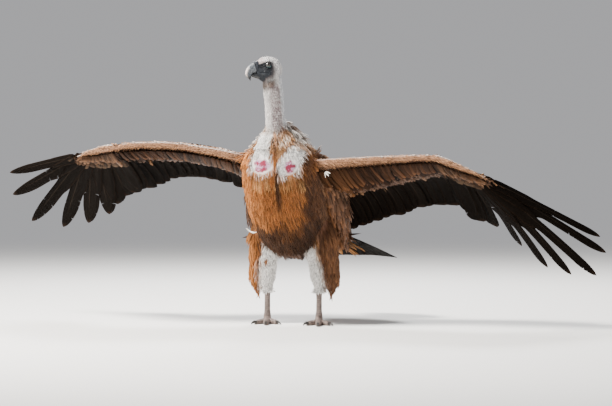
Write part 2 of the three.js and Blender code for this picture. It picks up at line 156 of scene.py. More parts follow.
# Half the height of the fleshy front of the wing, at a share of its chord behind the edge.
def wing_swell(reach, share):
    thickness = along_wing(reach, (0.060, 0.052, 0.046, 0.041, 0.037),
                           (0.037, 0.032, 0.026, 0.020, 0.013))
    share = np.clip(share, 0, 1)
    return thickness * np.sqrt(share * (1 - share)) * (0.3 + 0.7 * (1 - share) ** 0.8)


# ---------------------------------------------------------------------------------------------
# Skin. One hide covers head, neck, trunk, wings, thighs and rump. It is the flesh of the solids
# fused into one surface, smoothed, and drawn in by the depth of the coat that grows on it.

FLESH = {
    "head": ("head",), "neck": ("neck",), "ruff": ("ruff",), "trunk": ("trunk",),
    "rump": ("tail_root",),
    "scapulars": ("scapulars_left", "scapulars_right"), "flank": ("flank_left", "flank_right"),
    "arm": ("upper_arm_left", "upper_arm_right", "forearm_left", "forearm_right"),
    "hand": ("hand_left", "hand_right", "thumb_left", "thumb_right"),
    "thigh": ("thigh_left", "thigh_right"), "shank": ("shank_left", "shank_right"),
}
REGIONS = list(FLESH)
SKIN_VOXEL, LUMP_SWELL, HEAD_REACH = 0.005, 0.0008, 0.080
#              head    neck   ruff   trunk  rump   scap.  flank  arm    hand   thigh  shank
COAT_DEPTH = (0.0012, 0.004, 0.012, 0.009, 0.006, 0.006, 0.008, 0.004, 0.002, 0.009, 0.008)


def plain_mesh(piece):
    shown = piece.evaluated_get(bpy.context.evaluated_depsgraph_get())
    old, made = piece.data, bpy.data.meshes.new_from_object(shown)
    piece.modifiers.clear()
    piece.data = made
    bpy.data.meshes.remove(old)
    made.name = piece.name


def new_piece(name, mesh):
    piece = bpy.data.objects.new(name, mesh)
    bpy.context.scene.collection.objects.link(piece)
    return piece


# One closed skin fused from solids that overlap.
def fused(name, solids, voxel):
    piece = new_piece(name, bpy.data.meshes.new(name))
    solids.to_mesh(piece.data)
    solids.free()
    fuse = piece.modifiers.new("fuse", "REMESH")
    fuse.mode, fuse.voxel_size = "VOXEL", voxel
    plain_mesh(piece)
    return piece


def read(mesh, key="co"):
    found = np.empty(len(mesh.vertices) * 3, np.float32)
    mesh.vertices.foreach_get(key, found)
    return found.reshape(-1, 3).astype(float)


def put(mesh, points):
    mesh.vertices.foreach_set("co", np.asarray(points, np.float32).ravel())
    mesh.update()


def soft(value, low, high):
    t = np.clip((value - low) / (high - low), 0, 1)
    return t * t * (3 - 2 * t)


# 1 where every offset is nought, and less with each offset over the width that follows it.
def peak(*terms):
    return np.exp(-sum((offset / width) ** 2 for offset, width in zip(terms[::2], terms[1::2])))


# Directions with the part along another direction taken out.
def square_to(way, vectors):
    return unit(vectors - way * np.sum(vectors * way, axis=-1, keepdims=True))


# Each vertex's mean over its neighbours, applied a number of times to any field of values.
def spread(mesh, values, times, share=0.5):
    ends = np.empty(len(mesh.edges) * 2, np.int32)
    mesh.edges.foreach_get("vertices", ends)
    a, b = ends.reshape(-1, 2).T
    count = len(mesh.vertices)
    degree = np.maximum(np.bincount(a, minlength=count) + np.bincount(b, minlength=count), 1)
    values = np.array(values, float)
    flat = values.reshape(count, -1)
    for _ in range(times):
        near = np.stack([np.bincount(a, c[b], count) + np.bincount(b, c[a], count)
                         for c in flat.T], axis=1) / degree[:, None]
        flat = flat + (near - flat) * share
    return flat.reshape(values.shape)


# A field of one, three or four numbers for each vertex.
def store(mesh, name, values):
    values = np.asarray(values, np.float32).ravel()
    kind, key = {1: ("FLOAT", "value"), 3: ("FLOAT_VECTOR", "vector"),
                 4: ("FLOAT_COLOR", "color")}[len(values) // len(mesh.vertices)]
    mesh.attributes.new(name, kind, "POINT").data.foreach_set(key, values)


# The solids are gathered twice: as they are, and a little swollen so that neighbours fuse.
lumps, flesh = bmesh.new(), bmesh.new()


def add_lump(lump, region, swell):
    for face in lump.faces:
        face.material_index = REGIONS.index(region)
    solid = bpy.data.meshes.new("lump")
    lump.to_mesh(solid)
    lumps.from_mesh(solid)
    for v in lump.verts:
        v.co += swell * v.normal
    lump.to_mesh(solid)
    lump.free()
    flesh.from_mesh(solid)
    bpy.data.meshes.remove(solid)


for region, nodes in FLESH.items():
    for node in nodes:
        lump = bmesh.new()
        lump.from_mesh(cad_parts[node].data)
        bmesh.ops.remove_doubles(lump, verts=lump.verts, dist=1e-6)
        lump.normal_update()
        add_lump(lump, region, LUMP_SWELL)
# A rounded wrist fills the corner where forearm and hand meet.
WRIST_BACK, WRIST_LONG, WRIST_DEEP, WRIST_WIDE = 0.033, 0.031, 0.0125, 0.026
for side in SIDES:
    knob = bmesh.new()
    bmesh.ops.create_icosphere(knob, subdivisions=3, radius=1.0)
    way, up = feather_way(side, 1.0), wing_up(side, 1.0)
    middle = leading_edge(side, 1.0) + WRIST_BACK * way
    for v in knob.verts:
        v.co = Vector(middle + WRIST_LONG * v.co.y * way + WRIST_DEEP * v.co.z * up
                      + WRIST_WIDE * v.co.x * arm_way(side))
    bmesh.ops.recalc_face_normals(knob, faces=knob.faces)
    add_lump(knob, "hand", 0.0)
skin = fused("skin", flesh, SKIN_VOXEL)

# The head is divided twice more, to hold its folds and lids.
shape = bmesh.new()
shape.from_mesh(skin.data)
for _ in range(2):
    near_head = [e for e in shape.edges
                 if all((v.co - Vector(head_middle)).length < HEAD_REACH for v in e.verts)]
    bmesh.ops.subdivide_edges(shape, edges=near_head, cuts=1, use_grid_fill=True)
bmesh.ops.triangulate(shape, faces=[f for f in shape.faces if len(f.verts) > 4])
shape.to_mesh(skin.data)
shape.free()

# Which region each vertex belongs to, and the head's own shape back from its solid.
solids = BVHTree.FromBMesh(lumps)
lumps.faces.ensure_lookup_table()
points = read(skin.data)
found = [solids.find_nearest(p) for p in points]
region = np.array([lumps.faces[f[2]].material_index for f in found])
head_share = spread(skin.data, region == REGIONS.index("head"), 6)
points += (np.array([f[0] for f in found]) - points) * head_share[:, None] * 0.9
lumps.free()
for _ in range(6):
    points = spread(skin.data, points, 2, 0.55)
    points = spread(skin.data, points, 2, -0.5)
points = spread(skin.data, points, 3)

# The skin of the head: lids close over the edge of each eye, a brow juts above it, the lores
# and the ear sink in, and a fold runs back from the corner of the bill.
LIDS_WIDE, UPPER_LID, LOWER_LID = 0.0080, 0.0060, 0.0068
lid = np.zeros(len(points))
ahead, leftward, upward = (
    (points - head_middle) @ way for way in (head_ahead, head_left, head_up))
own_head = soft(head_share, 0.3, 0.8)
for sign in SIDES.values():
    near = own_head * soft(sign * leftward, 0.004, 0.012)
    brow = peak(upward - 0.0125 - 0.10 * ahead, 0.0034) * soft(
        0.026 - np.abs(ahead - 0.008), 0, 0.012)
    lores = peak(ahead - 0.023, 0.008, upward + 0.007, 0.008)
    temple = peak(ahead + 0.014, 0.008, upward - 0.006, 0.012)
    fold = peak(upward + 0.027 + 0.12 * (0.028 - ahead), 0.0016) * soft(
        ahead, 0.004, 0.010) * soft(0.04 - ahead, 0, 0.006)
    jowl = peak(upward + 0.036, 0.007, ahead - 0.010, 0.018)
    ear = peak(ahead + 0.024, 0.0035, upward + 0.016, 0.005)
    ear_rim = peak(np.hypot(ahead + 0.024, 0.7 * (upward + 0.016)) - 0.0062, 0.0018)
    move = (0.0030 * brow - 0.0030 * lores - 0.0016 * temple - 0.0016 * fold + 0.0016 * jowl
            - 0.0045 * ear + 0.0010 * ear_rim)
    leftward = leftward + sign * near * move
    # The opening is an oval a little narrower than the eyeball; rings of skin crowd to its edge.
    angle = np.arctan2(upward, ahead - EYE_AHEAD)
    radius = np.hypot(ahead - EYE_AHEAD, upward)
    rim = 1 / np.hypot(np.cos(angle) / LIDS_WIDE,
                       np.sin(angle) / np.where(upward > 0, UPPER_LID, LOWER_LID))
    gap = radius - rim
    gap = gap * (1 - 0.55 * (soft(0.004 - np.abs(gap), 0, 0.004) * near))
    radius = rim + gap
    ahead += near * (EYE_AHEAD + radius * np.cos(angle) - ahead)
    upward += near * (radius * np.sin(angle) - upward)
    ball = EYE_SIDE + np.sqrt(np.maximum(EYE_RADIUS ** 2 - np.minimum(radius, 0.0102) ** 2, 0))
    inside = soft(-gap, 0.0, 0.0011) * near
    ringed = soft(0.0055 - gap, 0, 0.0045) * near
    lip = np.maximum(ball + 0.0012, sign * leftward * 0.3 + 0.7 * (ball + 0.0012))
    crease = 0.00045 * np.cos(2 * math.pi * gap / 0.0024) * soft(0.010 - gap, 0, 0.006) * near
    out_there = sign * leftward * (1 - ringed) + lip * ringed + crease
    out_there = out_there * (1 - inside) + (ball - 0.0050) * inside
    leftward = leftward + near * (sign * out_there - leftward)
    lid = np.maximum(lid, soft(0.0024 - np.abs(gap - 0.0004), 0, 0.0016) * near)
wrinkle = np.array([noise.noise(Vector(p)) for p in
                    np.stack([ahead, leftward, upward], axis=1) * (260, 260, 520)])
points += (in_head(ahead, leftward, upward) - points) * own_head[:, None]
put(skin.data, points)
points += read(skin.data, "normal") * (own_head * 0.0005 * wrinkle * (1 - lid))[:, None]
put(skin.data, points)
skin_at = read(skin.data) - body_origin
weights = spread(skin.data, np.eye(len(REGIONS))[region], 8)
weights = weights / weights.sum(axis=1, keepdims=True)
part = dict(zip(REGIONS, weights.T))

# Where a vertex of the wings lies: its reach along the edge and its distance behind it.
wing_place = {}
on_wing = part["arm"] + part["hand"]
for side in SIDES:
    reaches, shares = np.meshgrid(np.linspace(-0.2, 2.08, 229), np.linspace(0, 1, 25))
    behind_edge = (shares * wing_chord(reaches))[..., None]
    grid = leading_edge(side, reaches) + feather_way(side, np.minimum(reaches, 1.3)) * behind_edge
    tree = kdtree.KDTree(reaches.size)
    for i, p in enumerate(grid.reshape(-1, 3)):
        tree.insert(p, i)
    tree.balance()
    mine = np.nonzero((on_wing > 0.02) & (SIDES[side] * skin_at[:, 0] > 0))[0]
    near = np.array([tree.find(p)[1] for p in points[mine]])
    wing_place[side] = (mine, reaches.ravel()[near], shares.ravel()[near])

# The lie of the coat: away from the bill, down the neck, along the body to the tail, down the
# legs, and on the wings the way that the flight feathers point.
TAIL_SWEEP, TAIL_DROP = 68, 23
x, y, z = skin_at.T
body_line = np.array([(0, -0.080, 0.664), (0, -0.036, 0.556), (0, 0.024, 0.474), (0, 0.1, 0.4),
                      (0.002, 0.172, 0.366), (0.01, 0.292, 0.350)])
nearest = np.argmin(np.linalg.norm(skin_at[:, None] - body_line[None], axis=2), axis=1)
away = unit(skin_at * [1, 1, 0] - np.array([0, -0.075, 0]))
flow = {
    "head": -head_ahead - head_up * 0.25, "neck": (0.04, 0.18, -1), "ruff": 0.35 * away - UP,
    "trunk": unit(np.gradient(body_line, axis=0))[nearest],
    "rump": pointing("left", TAIL_SWEEP, TAIL_DROP), "flank": (0, 0.35, -0.9),
    "scapulars": (0, 0.75, -0.62), "thigh": (0, 0.04, -1), "shank": (0, 0.03, -1),
    "arm": (0, 1, -0.3), "hand": (0, 1, -0.3),
}
lie = sum(part[name][:, None] * unit(np.broadcast_to(flow[name], skin_at.shape))
          for name in REGIONS)
for side, (mine, reach, share) in wing_place.items():
    at_edge = 0.2 + 1.8 * soft(0.25 - share, 0, 0.25)
    way = feather_way(side, reach) + np.multiply.outer(at_edge, (SIDES[side], 0, 0))
    lie[mine] += (unit(way) - lie[mine]) * on_wing[mine, None]
skin_up = read(skin.data, "normal")
lie = square_to(skin_up, spread(skin.data, lie, 12))

# Draw the skin in by the coat's depth, less where the wing is thin.
depth = weights @ np.array(COAT_DEPTH)
for side, (mine, reach, share) in wing_place.items():
    depth[mine] = np.minimum(depth[mine], 0.3 * wing_swell(reach, share) + 0.0004)
put(skin.data, points - skin_up * spread(skin.data, depth, 4)[:, None])

# ---------------------------------------------------------------------------------------------
# Markings, shared by skin and coat: a base colour at each point of the skin, painted by region,
# and the length of the feathers that grow there.

RUST, UMBER, SOOT = (0.41, 0.150, 0.038), (0.070, 0.028, 0.011), (0.030, 0.013, 0.006)
CREAM, GOLD, FAWN = (0.84, 0.80, 0.75), (0.52, 0.25, 0.085), (0.44, 0.225, 0.115)
MANTLE, COVERT_BROWN = (0.21, 0.105, 0.05), (0.20, 0.10, 0.05)
CROP_FOOT, PARTING = 0.588, 0.024
tint_of = {
    "head": (0.60, 0.57, 0.55), "neck": (0.90, 0.865, 0.845), "ruff": (0.34, 0.17, 0.075),
    "trunk": RUST, "rump": (0.19, 0.082, 0.032), "scapulars": MANTLE,
    "flank": (0.105, 0.045, 0.020), "arm": COVERT_BROWN, "hand": COVERT_BROWN,
    "thigh": (0.36, 0.135, 0.036), "shank": CREAM,
}
coat = sum(part[name][:, None] * np.array(tint_of[name]) for name in REGIONS)


def blend(colours, other, share):
    return colours + (np.asarray(other) - colours) * share[:, None]


def dye(colour, share):
    coat[:] = blend(coat, colour, share)


def speckle(scale, seed):
    return np.array([noise.noise(Vector(p) * scale + Vector((seed, 0, 0))) for p in skin_at])


mottle, fine = speckle(22, 3), speckle(70, 9)
fore = -skin_up[:, 1]
facing = soft(fore, 0.1, 0.4)
body_part = part["trunk"] + part["ruff"]
# The breast is rust; its left side, away from the key, umber as colour and partly painted shade;
# the belly umber; the back a dull mantle brown.
shade_side = soft(x + 0.035 * mottle + 0.12 * (0.5 - z), 0.082, 0.125) * body_part
dye(UMBER, shade_side * 0.95 * soft(fore, -0.7, 0.0))
belly = soft(0.450 + 0.04 * mottle - z + 0.25 * y, 0.0, 0.10) * part["trunk"]
dye((0.040, 0.016, 0.006), belly * 0.95)
dye(MANTLE, (1 - soft(fore, -0.15, 0.25)) * part["trunk"] * 0.95)
# Two white crop patches part the rust, each with a bare mauve spot, and a gold wedge between.
crop, bare, thin = np.zeros((3, len(x)))
rise = np.clip((z - CROP_FOOT) / 0.075, 0, 1)
for middle, lean, half, spot_x, spot_z, wide, tall, top in (
        (-0.036, 0.004, 0.053, -0.035, 0.577, 0.038, 0.031, 0.72),
        (0.066, 0.022, 0.043, 0.073, 0.576, 0.021, 0.027, 0.67)):
    across = (x - middle - lean * rise) / (half - 0.020 * rise)
    down = np.minimum(z - CROP_FOOT, 0) / 0.044
    patch = soft(1.02 + 0.10 * fine - np.hypot(across, down), 0, 0.2)
    crop = np.maximum(crop, patch * soft(top - z, 0, 0.02))
    spot = np.hypot((x - spot_x) / wide, (z - spot_z) / tall)
    bare = np.maximum(bare, soft(1.0 + 0.35 * fine - spot, 0, 0.3))
    above = np.hypot((x - spot_x) / (wide + 0.006), (z - spot_z - 0.009) / (tall + 0.012))
    thin = np.maximum(thin, soft(1.08 + 0.3 * fine - above, 0, 0.2))
crop *= facing * (1 - part["neck"]) * (1 - part["arm"])
bare *= facing * crop
wedge_wide = np.clip(0.50 * (z - CROP_FOOT), 0, 0.036)
wedge = soft(wedge_wide - np.abs(x - PARTING - 0.26 * np.maximum(z - 0.573, 0)) + 0.003 * fine,
             0, 0.010)
wedge *= soft(0.71 - z, 0, 0.03) * facing * body_part
hem = soft(0.016 - np.abs(z - 0.528 + 0.010 * fine), 0, 0.014)
hem = hem * soft(0.105 - np.abs(x - 0.02), 0, 0.02)
dye((0.60, 0.33, 0.13), hem * facing * part["trunk"] * 0.75)
dye((0.93, 0.91, 0.88), crop * (1 - wedge))
dye((0.42, 0.215, 0.085), wedge * 0.95)
dye((0.70, 0.60, 0.50), wedge * soft(z - 0.645, 0, 0.03) * soft(
    speckle(60, 7) + 0.1, -0.1, 0.2) * 0.85)
dye((0.11, 0.045, 0.018), wedge * soft(
    np.abs(x - PARTING - 0.26 * (z - 0.573)) - 0.45 * wedge_wide, 0, 0.010) * 0.95)
parting = soft(0.013 - np.abs(x - PARTING - 0.003 * mottle), 0, 0.008) * soft(0.595 - z, 0, 0.02)
dye(SOOT, parting * soft(z - 0.40, 0, 0.08) * facing * part["trunk"] * 0.9)
# The ruff behind the neck is cream, streaked with brown.
ruff_back = part["ruff"] * np.clip(1 - facing + soft(x - 0.07, 0, 0.03), 0, 1) * (1 - crop)
ruff_back *= 1 - soft(x - 0.05, 0, 0.04) * soft(0.690 - z, 0, 0.03)
dye((0.72, 0.68, 0.63), ruff_back * 0.9)
dye(COVERT_BROWN, ruff_back * soft(speckle(48, 5), 0.05, 0.3) * 0.9)
# A lighter fawn band runs along the front of the wing, with an umber lining behind it, darker
# underneath partly as painted shade, and a painted highlight along the top of the edge.
for side, (mine, reach, share) in wing_place.items():
    under = soft(-np.sum(skin_up[mine] * wing_up(side, reach), axis=1), -0.2, 0.3)
    edge = soft(0.20 + 0.05 * mottle[mine] - share, 0, 0.08)
    # Partly painted shade: the lining turns from mantle brown to dark umber on the wing's
    # underside.
    lining = blend(np.tile(MANTLE, (len(mine), 1)), (0.075, 0.034, 0.017), under)
    lining = blend(lining, FAWN, edge * (0.35 + 0.65 * under))
    # Painted highlight: a pale grey rim along the top of the leading edge, as if lit from behind.
    lining = blend(lining, (0.50, 0.44, 0.40), soft(0.05 - share, 0, 0.05) * (1 - under))
    coat[mine] = blend(coat[mine], lining, on_wing[mine] * soft(np.abs(x[mine]), 0.13, 0.19))
# Dark feathers hang outside the thighs, with white down inside, and tufts stray from their place.
dye((0.94, 0.92, 0.89), part["shank"] * 0.95)
dye((0.095, 0.042, 0.020), part["thigh"] * soft(x, 0.0, 0.1) * 0.85)
dye(GOLD, part["thigh"] * soft(0.118 - x, 0, 0.012) * soft(x, 0, 0.02) * 0.8)
for tuft, wide in (((-0.012, -0.10, 0.369), 0.011), ((0.180, -0.03, 0.547), 0.020)):
    dye(CREAM, soft(wide - np.linalg.norm(skin_at - tuft, axis=1), 0, 0.004))
SHADY_WAY, FRONT_WAY = np.array([0.94, 0.342, 0]), np.array([0.342, -0.94, 0])
brown_tuft = np.hypot(skin_at @ SHADY_WAY + 0.068, 0.8 * (z - 0.232))
dye((0.30, 0.125, 0.045), part["shank"] * soft(0.012 - brown_tuft, 0, 0.004))
# The face is slate from bill to ear, dark round the eye and grey down the cheek, under a white
# crown;
# rusty brown painted shadow under the jaw; and painted shade on the neck's shaded side: mauve skin,
# partly its own colour, between rows of down, and a cool blue cast.
head_part = soft(part["head"] + part["neck"] * soft(upward + 0.10, 0, 0.03), 0, 1)
face = soft(0.017 - 0.25 * np.abs(ahead) - upward, 0, 0.006) * soft(ahead + 0.020, -0.006, 0.022)
face = np.maximum(face, soft(ahead - 0.030, 0, 0.006) * 0.7) * part["head"]
dusk = face * soft(0.024 - np.hypot(ahead - 0.012, 1.4 * upward), -0.012, 0.010)
cheek = head_part * soft(0.010 - upward, 0, 0.012) * soft(upward + 0.098, 0, 0.04) * soft(
    ahead + 0.030, 0, 0.024)
# Painted shadow: rusty brown on the underside of the jaw.
jaw_shadow = soft(-0.048 - upward - 0.4 * ahead, 0, 0.02) * cheek * soft(ahead + 0.026, 0, 0.02)
dye((0.84, 0.83, 0.83), part["head"] * 0.8)
dye((0.72, 0.60, 0.57), part["head"] * soft(ahead - 0.012, 0, 0.012) * 0.7)
dye((0.10, 0.098, 0.096), cheek * 0.9)
dye((0.20, 0.125, 0.085), jaw_shadow * 0.9)
dye((0.035, 0.037, 0.043), face * 0.95)
turned = skin_up @ SHADY_WAY
# Partly painted shade: mauve skin shows, in rows, only on the neck's side turned from the key,
# where the down also thins.
mauve_shade_side = part["neck"] * soft(turned, -0.75, 0.15) * (1 - soft(turned, 0.66, 0.88)) * soft(
    skin_up @ FRONT_WAY, 0.0, 0.35) * soft(z - 0.68, 0, 0.05) * soft(-upward - 0.055, 0, 0.03)
mauve_shade_side = soft(mauve_shade_side, 0, 0.7)
mauve_shade_side *= 0.30 + 0.70 * soft(np.sin(z * 720 + 6 * mottle) + 0.9 * fine, -0.5, 0.7)
dye((0.13, 0.070, 0.078), mauve_shade_side * 0.92)
# Painted shade: a cool blue cast on the far side of the neck, turned from the key.
dye((0.70, 0.75, 0.82), part["neck"] * soft(turned, 0.74, 0.90) * 0.6)

length_of = {"head": 0.006, "neck": 0.0125, "ruff": 0.034, "trunk": 0.044, "rump": 0.085,
             "scapulars": 0.062, "flank": 0.075, "arm": 0.026, "hand": 0.020, "thigh": 0.060,
             "shank": 0.018}
long = sum(part[name] * length_of[name] for name in REGIONS)
long *= 1 + 0.35 * soft(0.52 - z, 0, 0.2) * part["trunk"]
long *= 1 - 0.6 * soft(0.20 - z, 0, 0.06) * part["thigh"]
long *= 1 + 0.6 * part["ruff"] * (1 - facing)
long *= 1 - 0.45 * part["ruff"] * soft(-0.02 - x, 0, 0.03)
long += (0.019 - long) * np.maximum(crop, 0.9 * wedge)
long += (0.007 - long) * thin * crop
for mine, reach, share in wing_place.values():
    long[mine] += (0.013 + 0.022 * soft(share, 0.0, 0.5) - long[mine]) * on_wing[mine]

bpy.context.view_layer.objects.active = skin
skin.select_set(True)
bpy.ops.object.mode_set(mode="EDIT")
bpy.ops.mesh.select_all(action="SELECT")
bpy.ops.uv.smart_project(angle_limit=math.radians(66), island_margin=0.002)
bpy.ops.object.mode_set(mode="OBJECT")
skin.select_set(False)
skin.data.uv_layers[0].name = "unwrap"
for name, values in (
        ("lie", lie), ("long", long), ("coat", np.insert(coat, 3, 1, axis=1)), ("face", face),
        ("lid", lid), ("dusk", dusk), ("lower", soft(-upward, 0.0005, 0.004)), ("bare", bare)):
    store(skin.data, name, values)


# Shader sums are written as sums of sockets: each operator adds its Math node.
class Socket:
    def __init__(self, tree, socket=None):
        self.tree, self.socket = tree, socket

    def node(self, kind, settings=(), inputs=(), out=0):
        made = self.tree.nodes.new(kind)
        for key, value in dict(settings).items():
            setattr(made, key, value)
        for key, value in dict(inputs).items():
            if isinstance(value, Socket):
                self.tree.links.new(value.socket, made.inputs[key])
            else:
                made.inputs[key].default_value = value
        return Socket(self.tree, made.outputs[out])

    def math(self, operation, first, second=0.0):
        return self.node("ShaderNodeMath", {"operation": operation}, {0: first, 1: second})

    def __add__(self, other):
        return self.math("ADD", self, other)

    def __sub__(self, other):
        return self.math("SUBTRACT", self, other)

    def __rsub__(self, other):
        return self.math("SUBTRACT", other, self)

    def __mul__(self, other):
        return self.math("MULTIPLY", self, other)

    __radd__, __rmul__ = __add__, __mul__

    # 0 below low, 1 above high, eased between them.
    def step(self, low, high):
        return self.node("ShaderNodeMapRange", {"interpolation_type": "SMOOTHSTEP"},
                         {"Value": self, "From Min": low, "From Max": high})

    def mix(self, first, second):
        return self.node("ShaderNodeMix", {"data_type": "RGBA"}, {0: self, 6: first, 7: second}, 2)

    def scaled(self, by):
        return self.node("ShaderNodeVectorMath", {"operation": "SCALE"}, {0: self, "Scale": by})

    def vector(self, x=0.0, y=0.0, z=0.0):
        return self.node("ShaderNodeCombineXYZ", {}, {"X": x, "Y": y, "Z": z})

    def attribute(self, name, out=2):
        return self.node("ShaderNodeAttribute", {"attribute_name": name}, out=out)

    def noise(self, vector, scale, detail=2.0, roughness=0.5):
        return self.node("ShaderNodeTexNoise", {}, {
            "Vector": vector, "Scale": scale, "Detail": detail, "Roughness": roughness})

    def bump(self, height, distance, strength=1.0):
        return self.node("ShaderNodeBump", {}, {
            "Height": height, "Distance": distance, "Strength": strength})

    def place(self):
        return self.node("ShaderNodeTexCoord", out=3)


def finish(name, paint, **fixed):
    made = bpy.data.materials.new(name)
    made.use_nodes = True
    surface = made.node_tree.nodes["Principled BSDF"]
    for key, value in fixed.items():
        surface.inputs[key.replace("_", " ")].default_value = value
    for key, value in paint(Socket(made.node_tree)).items():
        made.node_tree.links.new(value.socket, surface.inputs[key])
    return made


def skin_paint(sheet):
    place = sheet.place()
    grain, patch = sheet.noise(place, 900.0, 3.0), sheet.noise(place, 60.0, 3.0)
    slate = patch.mix((0.009, 0.011, 0.015, 1), (0.030, 0.034, 0.041, 1))
    slate = (sheet.attribute("dusk") * (0.75 + patch * 0.5)).mix(slate, (0.005, 0.006, 0.008, 1))
    mauve = patch.step(0.46, 0.68).mix((0.20, 0.022, 0.048, 1), (0.42, 0.27, 0.38, 1))
    base = (patch * 0.7).mix(sheet.attribute("coat", 0), (0.10, 0.055, 0.055, 1))
    base = sheet.attribute("bare").mix(sheet.attribute("face").mix(base, slate), mauve)
    rim = sheet.attribute("lower").mix((0.022, 0.024, 0.028, 1), (0.11, 0.165, 0.175, 1))
    base = (sheet.attribute("lid") * 0.9).mix(base, rim)
    return {"Base Color": base, "Normal": sheet.bump(grain + patch * 2.0, 0.0010)}


skin.data.materials.append(
    finish("down_skin", skin_paint, Roughness=0.7, Specular_IOR_Level=0.16))

# ---------------------------------------------------------------------------------------------
# Small feathers and down. Each is one thin closed blade, or a few, that grows from the skin and
# lies along it, tip over root. They are scattered over a copy of the skin that is then left out.

BLADE_PATCH = 0.003      # size of one feather on the coat's baked map
MOST_DENSE = 400000.0


# A smooth mesh of given points and faces, its faces turned outward.
def closed_mesh(name, points, faces):
    mesh = bpy.data.meshes.new(name)
    mesh.from_pydata(points, [], faces)
    shape = bmesh.new()
    shape.from_mesh(mesh)
    bmesh.ops.recalc_face_normals(shape, faces=shape.faces)
    shape.to_mesh(mesh)
    shape.free()
    mesh.shade_smooth()
    return mesh


# One blade: a ridge over a flat underside, from a narrow root to a point, one unit long.
def blade(name, widths, sag, ridge, strands=((0.0, 0.0, 1.0),)):
    verts, faces, along, across = [], [], [], []
    rows = len(widths)
    for slant, lift, reach in strands:
        first = len(verts)
        for i, half in enumerate(widths):
            u = i / rows
            drift, height = slant * u * u, lift * u - sag * u * u
            for w, up in ((-half, -ridge * 0.3), (half, -ridge * 0.3), (0, ridge)):
                verts.append((w + drift, u * reach, height + up))
                along.append(u)
                across.append(w / max(widths))
        verts.append((slant, reach, lift - sag))
        along.append(1.0)
        across.append(0.0)
        for i in range(rows - 1):
            a, b, c = (first + 3 * i + k for k in range(3))
            faces += [(a, a + 3, b + 3, b), (c, c + 3, a + 3, a), (b, b + 3, c + 3, c)]
        a, b, c = (first + 3 * (rows - 1) + k for k in range(3))
        tip = len(verts) - 1
        faces += [(a, b, tip), (c, a, tip), (b, c, tip), (first, first + 2, first + 1)]
    made = closed_mesh(name, verts, faces)
    store(made, "along", along)
    store(made, "across", across)
    return bpy.data.objects.new(name, made)


# The tree that scatters one kind of blade over the skin where its share of the coat grows.
growth = bpy.data.node_groups.new("growth", "GeometryNodeTree")
growth.interface.new_socket("Coat", in_out="OUTPUT", socket_type="NodeSocketGeometry")
growth_input = {label: growth.interface.new_socket(
    label, in_out="INPUT", socket_type=f"NodeSocket{kind}").identifier for label, kind in (
        ("Skin", "Geometry"), ("Blade", "Object"), ("Finish", "Material"), ("Spacing", "Float"),
        ("Girth", "Float"), ("Lift", "Float"), ("Stray", "Float"), ("Sink", "Float"),
        ("Seed", "Int"))}
tree = Socket(growth)
entry = growth.nodes.new("NodeGroupInput")
given = {label: Socket(growth, entry.outputs[label]) for label in growth_input}


def field(name, data_type="FLOAT"):
    return tree.node("GeometryNodeInputNamedAttribute", {"data_type": data_type}, {"Name": name})


def chance(low, high, seed):
    return tree.node("FunctionNodeRandomValue", {"data_type": "FLOAT"},
                     {2: low, 3: high, "Seed": seed}, 1)


def keep(geometry, name, value, data_type="FLOAT", domain="POINT"):
    return tree.node("GeometryNodeStoreNamedAttribute", {"data_type": data_type, "domain": domain},
                     {"Geometry": geometry, "Name": name, "Value": value})


def shifted(geometry, offset):
    return tree.node("GeometryNodeSetPosition", {}, {"Geometry": geometry, "Offset": offset})


scatter = tree.node("GeometryNodeDistributePointsOnFaces", {"distribute_method": "POISSON"}, {
    "Mesh": given["Skin"], "Distance Min": given["Spacing"], "Density Max": MOST_DENSE,
    "Density Factor": field("grow"), "Seed": given["Seed"]})
skin_way = Socket(growth, scatter.socket.node.outputs["Normal"])
roots = keep(scatter, "root_map", field("unwrap", "FLOAT_VECTOR"), "FLOAT_VECTOR")
roots = keep(roots, "shade", chance(0.0, 1.0, 5))
turn = tree.node("FunctionNodeAxesToRotation", {"primary_axis": "Z", "secondary_axis": "Y"}, {
    "Primary Axis": skin_way, "Secondary Axis": field("lie", "FLOAT_VECTOR")})
sway = tree.vector(given["Lift"] * chance(0.5, 1.5, 11), given["Stray"] * chance(-0.8, 0.8, 12),
                   given["Stray"] * chance(-1.0, 1.0, 13))
turn = tree.node("FunctionNodeRotateRotation", {"rotation_space": "LOCAL"}, {
    "Rotation": turn, "Rotate By": tree.node("FunctionNodeEulerToRotation", {}, {"Euler": sway})})
each_long = field("long") * chance(0.75, 1.2, 14)
blades = tree.node("GeometryNodeInstanceOnPoints", {}, {
    "Points": shifted(roots, skin_way.scaled(given["Sink"] * -1.0)), "Rotation": turn,
    "Scale": tree.vector(each_long * given["Girth"], each_long, each_long),
    "Instance": tree.node("GeometryNodeObjectInfo", {}, {"Object": given["Blade"]}, out=4)})
ripple = tree.node("ShaderNodeTexNoise", {}, {"Scale": 45.0, "Detail": 1.0}, out=1)
wave = tree.node("ShaderNodeVectorMath", {"operation": "SUBTRACT"}, {0: ripple, 1: (0.5,) * 3})
bent = shifted(tree.node("GeometryNodeRealizeInstances", {}, {"Geometry": blades}),
               wave.scaled(field("along") * field("long") * 0.22))
patch = tree.vector(field("across") * 0.5 * BLADE_PATCH, (field("along") - 0.5) * BLADE_PATCH)
flat = tree.node("ShaderNodeVectorMath", {"operation": "ADD"}, {
    0: field("root_map", "FLOAT_VECTOR"), 1: patch})
done = tree.node("GeometryNodeSetMaterial", {}, {
    "Geometry": keep(bent, "OFBake", flat, "FLOAT2", "CORNER"), "Material": given["Finish"]})
growth.links.new(done.socket, growth.nodes.new("NodeGroupOutput").inputs[0])

